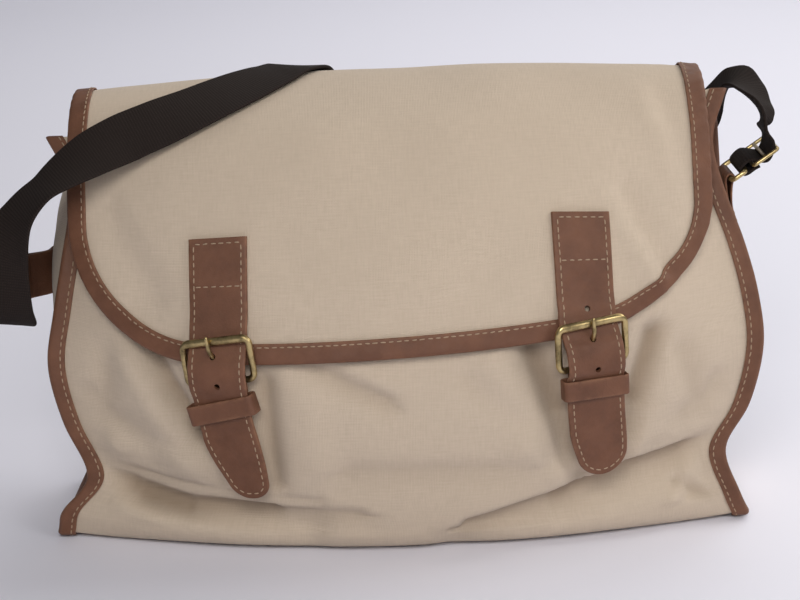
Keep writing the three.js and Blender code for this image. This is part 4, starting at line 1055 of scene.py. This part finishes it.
def drawn_in(tip, remaining):
    """How far a strap's edge is drawn in: slowly over the tip's length, then as a quarter circle at the end."""
    taper, length, corner = tip
    slow = taper * np.clip(1 - remaining / length, 0, 1) ** 1.3
    return slow + corner * (1 - np.sqrt(1 - np.clip(1 - remaining / corner, 0, 1) ** 2))


def strap_edges(fastening, at):
    """Left and right edges along a strap, each drawn in to the tip."""
    remaining = at[-1] - at
    half = STRAP_WIDTH / 2
    return drawn_in(fastening.tip_left, remaining) - half, half - drawn_in(fastening.tip_right, remaining)


def strap_route(fastening):
    """Stops of a strap: on the flap, behind the top bar, before the heel bar, through the keeper to its tip."""
    on_canvas = CANVAS_THICKNESS / 2 + PIECE_GAP + STRAP_THICKNESS / 2
    behind_bar = FRAME_WIRE / 2 + PIECE_GAP + STRAP_THICKNESS / 2
    top_z, bar_z, keeper_z = fastening.top_z, fastening.bar_z, fastening.keeper_z
    to_tip = fastening.tip_z - keeper_z
    bar = fastening.height
    over_flap = [
        (top_z, on_canvas), (0.6 * top_z + 0.4 * bar_z, on_canvas), (bar_z + 15, on_canvas + 0.3),
        (bar_z + 7, on_canvas + 1.7),
    ]
    through_frame = [(-behind_bar - 2.2, bar + 0.5), (0.2, bar - 9), (4.2, bar - 14), (6.8, 0)]
    over_front = [
        (keeper_z + 5, 10.6), (keeper_z - 5, 9.2), (keeper_z - 14, 8.3), (keeper_z + 0.6 * to_tip, 8.5),
        (keeper_z + 0.85 * to_tip, 9), (fastening.tip_z, 9.5),
    ]
    return (
        [fastening.on_flap(*stop) for stop in over_flap]
        + [fastening.in_frame(*stop) for stop in through_frame]
        + [fastening.on_front(*stop) for stop in over_front]
    )


def tube_grid(path, side, radius, cyclic=False, stretch=1.0):
    """Round wire along a path in a plane with normal side; stretch widens its section in that plane."""
    run = np.roll(path, -1, axis=0) - np.roll(path, 1, axis=0) if cyclic else np.gradient(path, axis=0)
    inward = np.cross(side, unit(run))
    angle = np.linspace(0, 2 * np.pi, WIRE_SIDES + 1)[:-1]
    level = (np.broadcast_to(radius * stretch, len(path))[:, None] * np.cos(angle))[..., None]
    through = (np.broadcast_to(radius, len(path))[:, None] * np.sin(angle))[..., None]
    return path[:, None] + inward[:, None] * level + side * through


def tube_faces(grid, cyclic=False):
    """Outward quads of a tube's rings, closed at its ends."""
    return facing_out(grid.reshape(-1, 3), band_faces(grid.shape[0], grid.shape[1] // 2, cyclic))


def cut_away(piece, tools):
    """Takes closed tubes, given as grids, out of a piece and keeps the new rims sharp."""
    cutters = [new_piece("cutter", grid, tube_faces(grid), piece.data.materials[0]) for grid in tools]
    for cutter in cutters:
        modifier = piece.modifiers.new("cut", "BOOLEAN")
        modifier.object = cutter
    bpy.context.view_layer.update()
    shape = bpy.data.meshes.new_from_object(piece.evaluated_get(bpy.context.evaluated_depsgraph_get()))
    piece.modifiers.clear()
    piece.data = shape
    shape.set_sharp_from_angle(angle=CUT_ANGLE)
    for cutter in cutters:
        bpy.data.objects.remove(cutter)


def prong_path(fastening):
    """Prong's middle line in the plane across the heel bar: a hook round it, then up through the strap."""
    top = fastening.height
    hook = [(2.1, -3.4), (-2.1, -3.4), (-4, 0.2), (-2.7, 3.4), (-0.2, 6.5), (0.6, 10), (0.9, 13), (1.8, 17)]
    reach = [(4.2, top - 3.6), (3.8, top), (3.3, top + 4.5)]
    lean = fastening.across * fastening.prong_lean / top
    stops = [fastening.in_frame(*stop)[0] + lean * max(stop[1], 0) for stop in hook + reach]
    return smooth_path(np.array(stops), 6)


strap_lines = {}
for fastening in FASTENINGS:
    line = ribbon(strap_route(fastening), 0.9, ease=1.5)
    at, centre, wide, face = line
    left, right = strap_edges(fastening, at)
    strap_lines[fastening.name] = (line, left, right)
    strap = new_strap(f"strap_leather_{fastening.name}", line, left, right, STRAP_THICKNESS, leather)
    holes = [hole for hole in range(-HOLES_BELOW, fastening.holes_above + 1) if hole]
    tools = [tube_grid(prong_path(fastening), fastening.across, PRONG_WIRE / 2 + PRONG_CLEAR)]
    for hole in holes:
        row = np.argmin(np.abs(centre[:, 2] - (fastening.bar_z - PRONG_HOLE_DROP + hole * HOLE_PITCH)))
        drill = centre[row] + face[row] * np.linspace(-DRILL_REACH, DRILL_REACH, 3)[:, None]
        tools.append(tube_grid(drill, wide[row], HOLE_DIAMETER / 2))
    cut_away(strap, tools)
    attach(strap, "root")
    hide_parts(f"flap_strap_{fastening.name}")


# Buckles: frames of thick brass wire with rounded corners, and thinner prongs hooked round their heel bars. The
# brass is aged: dull and darker in places, bright where it is rubbed.
FRAME_WIDTH = 46.0
FRAME_CORNER = 4.0
BAR_STRETCH = 0.3
# Shares of the prong's length from its hook to its tip, and the share of its wire at each
PRONG_LENGTHS = (0, 0.04, 0.8, 0.97, 1)
PRONG_SHARES = (0.6, 1, 1, 0.8, 0.45)
BRASS_COLOUR = (0.52, 0.40, 0.19, 1.0)
BRASS_DULL = (0.15, 0.11, 0.055, 1.0)


def brass_finish():
    """Metal with dull patches as noise, rougher where it is dull."""
    finish = Finish("brass")
    place = finish.add("TexCoord", "Object")
    dull = finish.spread(finish.noise(130.0, 5.0, place, 0.6), 0.42, 0.68)
    return finish.shade({
        "Base Color": finish.mix(dull, BRASS_COLOUR, BRASS_DULL),
        "Roughness": finish.spread(dull, 0.0, 1.0, 0.28, 0.5),
        "Metallic": 1.0,
    })


brass = brass_finish()


def rounded_loop(width, height, corner, count):
    """Even points of a rounded rectangle about the origin: four quarter circles and the sides between."""
    angle = np.linspace(0, np.pi / 2, 9)
    x, y = width / 2 - corner, height / 2 - corner
    turns = [(x, y, 0), (-x, y, 1), (-x, -y, 2), (x, -y, 3)]
    corners = []
    for centre_x, centre_y, quarter in turns:
        turn = angle + quarter * np.pi / 2
        corners.append(np.stack((centre_x + corner * np.cos(turn), centre_y + corner * np.sin(turn)), axis=-1))
    loop = np.concatenate(corners + [corners[0][:1]])
    length = lengths_along(loop)
    return read_line(loop, length, np.linspace(0, length[-1], count + 1)[:-1])


def in_plane(loop, centre, across, up):
    """Points of a flat loop placed in space."""
    return centre + loop[:, :1] * across + loop[:, 1:] * up


def new_wire(name, path, side, radius, cyclic=False, stretch=1.0):
    """Brass wire along a path in a plane with normal side."""
    grid = tube_grid(path, side, radius, cyclic, stretch)
    return new_piece(name, grid, tube_faces(grid, cyclic), brass)


for fastening in FASTENINGS:
    loop = rounded_loop(FRAME_WIDTH - FRAME_WIRE, fastening.height, FRAME_CORNER, 120)
    centre = fastening.in_frame(0, fastening.height / 2)[0]
    path = in_plane(loop, centre, fastening.askew_across, fastening.askew_up)
    stretch = 1 + BAR_STRETCH * np.clip(loop[:, 1] - fastening.height / 2 + 1, 0, 1)
    buckle = new_wire(f"frame_brass_{fastening.name}", path, fastening.out, FRAME_WIRE / 2, True, stretch)
    path = prong_path(fastening)
    radius = PRONG_WIRE / 2 * np.interp(np.linspace(0, 1, len(path)), PRONG_LENGTHS, PRONG_SHARES)
    prong = new_wire(f"prong_brass_{fastening.name}", path, fastening.across, radius)
    for piece, node in ((buckle, "buckle_frame"), (prong, "buckle_prong")):
        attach(piece, "root")
        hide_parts(f"{node}_{fastening.name}")


# Billets: thinner leather folded round the heel bars and sewn on the front behind the straps, slotted for the
# prongs. Keepers: leather loops round the straps just below, held between the billets' two layers.
BILLET_WIDTH = 28.0
BILLET_THICKNESS = 1.5
BILLET_LENGTH = 42.0
PRONG_SLOT = 7.0
SLOT_HEIGHT = 16.0
SLOT_RISE = 1.5
SLOT_REACH = 7.0
KEEPER_BACK = 3.5
KEEPER_FRONT = 13.8
KEEPER_HEIGHT = 12.0
KEEPER_CORNER = 2.2
KEEPER_POINTS = 90
DIAGONAL = 0.71


def billet_route(fastening):
    """Stops of a billet: up the front, round the heel bar and down over itself."""
    loop = FRAME_WIRE / 2 + 2.4 * PIECE_GAP + BILLET_THICKNESS / 2
    bend = DIAGONAL * loop
    back = CANVAS_THICKNESS / 2 + 2.5 * PIECE_GAP + BILLET_THICKNESS / 2
    front = back + BILLET_THICKNESS + PIECE_GAP
    end_z = fastening.heel_z - BILLET_LENGTH
    up_front = [(end_z, back), (fastening.heel_z - 24, back), (fastening.heel_z - 8, back)]
    round_bar = [(-loop, -1), (-bend, bend), (0, loop), (bend, bend), (loop, -1)]
    keeper_z = fastening.keeper_z
    down_front = [(keeper_z + 2, 6.3), (keeper_z - 7, 6), (keeper_z - 17, front), (end_z + 2, front)]
    return (
        [fastening.on_front(*stop) for stop in up_front]
        + [fastening.askew(*stop) for stop in round_bar]
        + [fastening.on_front(*stop) for stop in down_front]
    )


for fastening in FASTENINGS:
    half = BILLET_WIDTH / 2
    line = ribbon(billet_route(fastening), 1.0)
    billet = new_strap(f"billet_leather_{fastening.name}", line, -half, half, BILLET_THICKNESS, leather)
    reach = np.linspace(-SLOT_REACH, SLOT_REACH, 3)[:, None]
    slot_line = fastening.in_frame(0, SLOT_RISE)[0] + fastening.out * reach
    cut_away(billet, [tube_grid(slot_line, fastening.up, SLOT_HEIGHT / 2, False, PRONG_SLOT / SLOT_HEIGHT)])
    spot, normal, across = front_spot(fastening.strap_x(fastening.keeper_z), fastening.keeper_z)
    across = turned(across, normal, fastening.keeper_turn)
    up = np.cross(normal, across)
    width = STRAP_WIDTH + fastening.keeper_clear + LEATHER_THICKNESS
    depth = KEEPER_FRONT - KEEPER_BACK - LEATHER_THICKNESS
    loop = rounded_loop(width, depth, KEEPER_CORNER, KEEPER_POINTS)
    path = in_plane(loop, spot + normal * (KEEPER_FRONT + KEEPER_BACK) / 2, across, normal)
    outward = unit(np.cross(unit(np.roll(path, -1, axis=0) - np.roll(path, 1, axis=0)), -up))
    line = (np.linspace(0, 2 * (width + depth), len(path)), path, up + 0 * path, outward)
    half = KEEPER_HEIGHT / 2
    keeper = new_strap(f"keeper_leather_{fastening.name}", line, -half, half, LEATHER_THICKNESS, leather, True)
    for piece, node in ((billet, "billet"), (keeper, "keeper")):
        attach(piece, "root")
        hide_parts(f"{node}_{fastening.name}")


# Shoulder strap fittings: a brass ring at each end, held by a leather tab that is sewn on the gusset and folded
# round the ring's bar, and a brass slider with a middle bar next to the right ring.
RING_WIRE = 3.0
RING_PITCH = 10.0
RING_WIDTH = 43.0
TAB_WIDTH = 28.0
TAB_CLEAR = 0.8
SLIDER_LENGTH = 20.0
SLIDER_WIDTH = 43.0
SLIDER_WIRE = 2.4
SLIDER_PAST_RING = 14.5
RING_CORNER = 2.5
SLIDER_CORNER = 2.0
TAB_LOOP = RING_WIRE / 2 + 1.5 * PIECE_GAP + LEATHER_THICKNESS / 2
TAB_QUARTERS = np.array([-1.5, -0.75, 0, 0.5, 1]) * np.pi / 2


@dataclass
class Ring:
    """A ring between its tab's bar and the webbing's bar, both along one axis; away leads from bar to bar."""

    name: str
    side: int
    tab_bar: np.ndarray
    away: np.ndarray
    axis: np.ndarray
    outer: int
    sewn: tuple

    def __post_init__(self):
        self.normal = unit(np.cross(self.axis, self.away))
        self.web_bar = self.tab_bar + RING_PITCH * self.away

    def stop(self, bar, away, facing):
        """Stop beside a bar: further away from the bag, and to the ring's face."""
        return bar + self.away * away + self.normal * facing, self.axis


def gusset_spot(side, z, share):
    """Point of a gusset at a height and a share of the way from the front seam to the back one."""
    line = gusset_base(side, np.array([share]))[::-1, 0]
    return read_line(line, line[:, 2], z)


RINGS = (
    Ring("left", -1, np.array([-234.0, 9, 157]), np.array([-0.707, -0.707, 0]), np.array([0.0, 0, 1]), -1,
         tuple(gusset_spot(-1, 157, share) for share in (0.76, 0.65, 0.54))),
    Ring("right", 1, np.array([205.0, 18, 207.5]), np.array([0.82, 0, 0.572]), np.array([0.0, 1, 0]), 1,
         tuple(gusset_spot(1, height, 0.5) for height in (168, 179, 190))),
)


def tab_route(ring):
    """Stops of a tab: along the gusset, round the ring's bar and back over itself."""
    inner = CANVAS_THICKNESS / 2 + TAB_CLEAR + LEATHER_THICKNESS / 2
    outer = inner + LEATHER_THICKNESS + 2 * PIECE_GAP
    outward = np.array([ring.side, 0.0, 0.0])
    layers = [[(point + outward * lift, ring.axis) for point in ring.sewn] for lift in (inner, outer)]
    turn = [
        ring.stop(ring.tab_bar, TAB_LOOP * np.cos(angle), ring.outer * TAB_LOOP * np.sin(angle))
        for angle in TAB_QUARTERS
    ]
    return layers[0] + turn + layers[1][::-1]


tab_lines = {}
for ring in RINGS:
    line = ribbon(tab_route(ring), 0.8)
    tab_lines[ring.name] = line
    half = TAB_WIDTH / 2
    tab = new_strap(f"tab_leather_{ring.name}", line, -half, half, LEATHER_THICKNESS, leather)
    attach(tab, "root")
    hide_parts(f"strap_tab_{ring.name}")
    loop = rounded_loop(RING_WIDTH - RING_WIRE, RING_PITCH, RING_CORNER, 90)
    path = in_plane(loop, (ring.tab_bar + ring.web_bar) / 2, ring.axis, ring.away)
    wire = new_wire(f"ring_brass_{ring.name}", path, ring.normal, RING_WIRE / 2, True)
    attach(wire, "root")
    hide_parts(f"strap_ring_{ring.name}")

left_ring, right_ring = RINGS
slider_centre = right_ring.web_bar + right_ring.away * SLIDER_PAST_RING
loop = rounded_loop(SLIDER_WIDTH - SLIDER_WIRE, SLIDER_LENGTH - SLIDER_WIRE, SLIDER_CORNER, 110)
path = in_plane(loop, slider_centre, right_ring.axis, right_ring.away)
outer_grid = tube_grid(path, right_ring.normal, SLIDER_WIRE / 2, True)
bar_reach = SLIDER_WIDTH / 2 - SLIDER_WIRE
bar_line = slider_centre + right_ring.axis * np.linspace(-bar_reach, bar_reach, 12)[:, None]
bar_grid = tube_grid(bar_line, right_ring.normal, SLIDER_WIRE / 2)
slider_points = np.concatenate((outer_grid.reshape(-1, 3), bar_grid.reshape(-1, 3)))
slider_faces = np.concatenate((tube_faces(outer_grid, True), tube_faces(bar_grid) + outer_grid.size // 3))
slider = new_piece("slider_brass", slider_points, slider_faces, brass)
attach(slider, "root")
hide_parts("strap_slider")


# Shoulder strap: one length of dark brown webbing, from the left ring out and round, over the flap and the top,
# down behind the bag to the floor, up past the right end, and in an arch through the slider to the right ring.
WEBBING_WIDTH = 35.0
WEBBING_THICKNESS = 2.0
WEB_LOOP = RING_WIRE / 2 + 1.5 * PIECE_GAP + WEBBING_THICKNESS / 2
WEAVE = SLIDER_WIRE / 2 + 4 * PIECE_GAP + WEBBING_THICKNESS / 2
SLIDER_BAR = (SLIDER_LENGTH - SLIDER_WIRE) / 2
RIB_PITCH = 1.7
WEBBING_THREAD_PITCH = 1.1
WEBBING_COLOUR = (0.026, 0.017, 0.014, 1.0)
WEBBING_DARK = (0.013, 0.0085, 0.007, 1.0)
STRAP_STOPS = np.array([
    # x, y, z, across_x, across_y, across_z
    (-252, -17, 151, -0.35, 0.1, 0.93),
    (-244, -29, 143, -0.85, -0.1, 0.5),
    (-238, -42, 142, -0.97, -0.2, 0.1),
    (-237, -53, 152, -1, 0, 0),
    (-236, -57, 167.5, -0.98, 0.2, 0),
    (-234, -58, 188, -0.94, 0.3, 0.12),
    (-222.5, -57, 212, -0.55, 0.81, 0.19),
    (-208, -54, 227, -0.31, 0.93, 0.21),
    (-182, -44, 243, -0.24, 0.75, 0.6),
    (-160, -35, 252, -0.2, 0.65, 0.7),
    (-140, -28, 259, -0.25, 0.7, 0.65),
    (-121, -19, 265.3, -0.32, 0.78, 0.52),
    (-104, -8, 270.8, -0.42, 0.82, 0.42),
    (-88, 6, 275.2, -0.52, 0.82, 0.3),
    (-75, 20, 278.2, -0.62, 0.78, 0.15),
    (-64, 36, 279.8, -0.68, 0.72, -0.02),
    (-55, 53, 273.2, -0.72, 0.5, -0.3),
    (-49, 70, 253, -0.83, 0.5, -0.25),
    (-43, 88, 226, -0.85, 0.5, 0),
    (-36, 99, 188, -0.6, 0.8, 0),
    (-28, 105, 140, -0.25, 1, 0),
    (-14, 106, 88, 0, 1, 0),
    (10, 106, 40, 0, 1, 0),
    (42, 106, 11, 0, 1, 0),
    (86, 106, 2, 0, 1, 0),
    (134, 106, 11, 0, 1, 0),
    (158, 106, 40, 0, 1, 0),
    (182, 104, 135, -0.25, 0.95, 0.2),
    (200, 83, 227, -0.2, 0.86, 0.45),
    (205.8, 71, 242.6, 0, 0.75, 0.65),
    (210.2, 62, 253.4, 0.2, 0.72, 0.66),
    (214.4, 55.5, 258.6, 0.6, 0.65, 0.42),
    (219.2, 48.5, 257, 0.76, 0.6, -0.05),
    (222.6, 38.5, 253.4, 0.72, 0.58, -0.38),
    (224.9, 27.5, 249.2, 0.48, 0.82, -0.25),
    (226.2, 20, 243.4, 0.12, 0.99, -0.04),
    (226.5, 18, 236, 0, 1, 0),
])


def webbing_finish():
    """Fine ribs across the strap as a sine wave along it, times lengthwise threads as another."""
    finish = Finish("webbing")
    cloth = finish.add("UVMap", "UV", uv_map="cloth")
    ribs = finish.waves(cloth, RIB_PITCH, 0.4, "Y")
    weave = finish.join("MULTIPLY", ribs, finish.waves(cloth, WEBBING_THREAD_PITCH, 0.3, "X"))
    return finish.shade({
        "Base Color": finish.mix(weave, WEBBING_DARK, WEBBING_COLOUR),
        "Normal": finish.bump(weave, 0.5, 0.4),
        "Roughness": 0.85,
        "Specular IOR Level": 0.2,
    })


def webbing_route():
    """Stops of the webbing: round the left ring's bar, the free stops, through the slider, round the other."""
    bend = DIAGONAL * WEB_LOOP
    at_left = [
        (22, -0.9 * WEB_LOOP), (8, -WEB_LOOP), (0, -WEB_LOOP), (-bend, -bend), (-WEB_LOOP, 0),
        (-bend, bend), (0, WEB_LOOP), (8, WEB_LOOP),
    ]
    bar = -SLIDER_PAST_RING
    at_slider = [
        (SLIDER_BAR, -WEAVE), (0, WEAVE), (-SLIDER_BAR, -WEAVE), (bar, -WEB_LOOP), (bar - bend, -bend),
        (bar - WEB_LOOP, 0), (bar - bend, bend), (bar, WEB_LOOP), (-SLIDER_BAR, WEB_LOOP),
        (-SLIDER_BAR + 3, WEB_LOOP + 0.4),
    ]
    first = [left_ring.stop(left_ring.web_bar, *stop) for stop in at_left]
    last = [right_ring.stop(slider_centre, *stop) for stop in at_slider]
    return first + [(stop[:3], stop[3:]) for stop in STRAP_STOPS] + last


line = ribbon(webbing_route(), 1.5)
half = WEBBING_WIDTH / 2
webbing = new_strap("webbing_strap", line, -half, half, WEBBING_THICKNESS, webbing_finish())
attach(webbing, "root")
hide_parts("shoulder_strap")


# Stitches: pale thread through the bindings, round the straps and across them, and along three sides of the
# tabs. Each stitch is a short rounded length that lies a little sunk in the leather.
STITCH_LENGTH = 3.1
STITCH_PITCH = 4.5
STITCH_RADIUS = 0.42
STITCH_INSET = 3.3
STITCH_DIP = 0.25
STITCH_SLIP = 0.12
STITCH_SKEW = 0.05
STITCH_LIFT = 0.65
SIDE_STITCH_REACH = 3.0
FLAP_STITCH_INSET = 2.2
STRAP_BOX = 28.5
TAB_BOX = 16.0
TAB_INSET = 3.0
SEAM_POINTS = 40
THREAD_COLOUR = (0.42, 0.30, 0.20, 1.0)
thread_finish = Finish("thread")
twist = thread_finish.noise(900.0, 2.0)
thread_colour = thread_finish.mix(twist, THREAD_COLOUR, darker(THREAD_COLOUR, 0.7))
thread = thread_finish.shade({"Base Color": thread_colour, "Roughness": 0.8})
stitch_along = np.array([-0.5, -0.42, 0.0, 0.42, 0.5])
stitch_round = np.array([0.35, 0.85, 1.0, 0.85, 0.35])
stitch_angle = np.linspace(0, 2 * np.pi, 7)[:-1]


def sew(name, seams, seed):
    """Stitches along seams of points and outward directions, at an even pitch with small chance differences."""
    chosen = np.random.default_rng(seed)
    grids = []
    for path, outward in seams:
        length = lengths_along(path)
        count = max(2, int(length[-1] / STITCH_PITCH))
        at = (np.arange(count) + 0.5) * length[-1] / count + chosen.normal(0, STITCH_SLIP, count)
        run = unit(read_line(path, length, at + 0.6) - read_line(path, length, at - 0.6))
        out = read_line(outward, length, at)
        out = unit(out - run * (out * run).sum(axis=-1, keepdims=True))
        side = np.cross(run, out)
        run = unit(run + side * chosen.normal(0, STITCH_SKEW, count)[:, None])
        long = STITCH_LENGTH * chosen.uniform(0.9, 1.08, count)
        reach = run[:, None] * (long[:, None] * stitch_along)[..., None]
        dip = out[:, None] * (-STITCH_DIP * (2 * stitch_along) ** 2)[None, :, None]
        spine = read_line(path, length, at)[:, None] + reach + dip
        ring = side[:, None] * np.cos(stitch_angle)[:, None] + out[:, None] * np.sin(stitch_angle)[:, None]
        grids.append(spine[:, :, None] + ring[:, None] * (STITCH_RADIUS * stitch_round)[None, :, None, None])
    points = np.concatenate(grids)
    one = tube_faces(points[0])
    faces = (one[None] + np.arange(len(points))[:, None, None] * points[0].size // 3).reshape(-1, 4)
    stitches = new_piece(name, points, faces, thread)
    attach(stitches, "root")


def row_of(place, reach, lift):
    """Seam on a folded binding at a reach and a lift, with its outward direction."""
    line = place(np.array([reach, reach]), np.array([lift, lift + 1]))
    return line[:, 0], line[:, 1] - line[:, 0]


def inset_outline(at, left, right, inset):
    """Line inside a strap's outline: down its left edge, round the tip and up its right edge."""
    outline = np.concatenate((np.stack((left, at), axis=-1), np.stack((right, at), axis=-1)[::-1]))
    run = unit(soften(np.gradient(outline, axis=0), 4))
    inside = outline + inset * np.stack((run[:, 1], -run[:, 0]), axis=-1)
    return inside[inside[:, 1] > inset]


def on_strap(seam, line, lift):
    """Seam on a strap's line, from its lateral places and lengths along it."""
    at, centre, wide, face = line
    point = read_line(centre, at, seam[:, 1]) + read_line(wide, at, seam[:, 1]) * seam[:, :1]
    outward = read_line(face, at, seam[:, 1])
    return point + outward * lift, outward


def straight_row(length, reach):
    """Line across a strap at a length along it."""
    return np.stack((np.linspace(-reach, reach, SEAM_POINTS), np.full(SEAM_POINTS, length)), axis=-1)


flap_seam = row_of(beside_flap_edge, binding_start + FLAP_STITCH_INSET, FLAP_BINDING_HALF + STITCH_LIFT)
sew("flap_stitches", [flap_seam], 41)
for side, side_name in SIDES:
    side_seam = row_of(partial(beside_seam, side), SIDE_STITCH_REACH, SIDE_BINDING_HALF + STITCH_LIFT)
    sew(f"side_stitches_{side_name}", [side_seam], 43 + side)
for fastening in FASTENINGS:
    line, left, right = strap_lines[fastening.name]
    reach = STRAP_WIDTH / 2 - STITCH_INSET
    rows = [inset_outline(line[0], left, right, STITCH_INSET)]
    rows += [straight_row(length, reach) for length in (STITCH_INSET, STRAP_BOX)]
    seams = [on_strap(row, line, STRAP_THICKNESS / 2 + 0.1) for row in rows]
    sew(f"strap_stitches_{fastening.name}", seams, 47)
for ring in RINGS:
    line = tab_lines[ring.name]
    reach = TAB_WIDTH / 2 - TAB_INSET
    end = line[0][-1] - TAB_INSET
    box = np.linspace(end - TAB_BOX, end, SEAM_POINTS)
    rows = [np.stack((np.full(SEAM_POINTS, edge), box), axis=-1) for edge in (-reach, reach)]
    rows.append(straight_row(end, reach))
    seams = [on_strap(row, line, LEATHER_THICKNESS / 2 + 0.1) for row in rows]
    sew(f"tab_stitches_{ring.name}", seams, 53)

box = {"cad": [list(corner) for corner in cad_box], "visual": [list(corner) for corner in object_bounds()]}
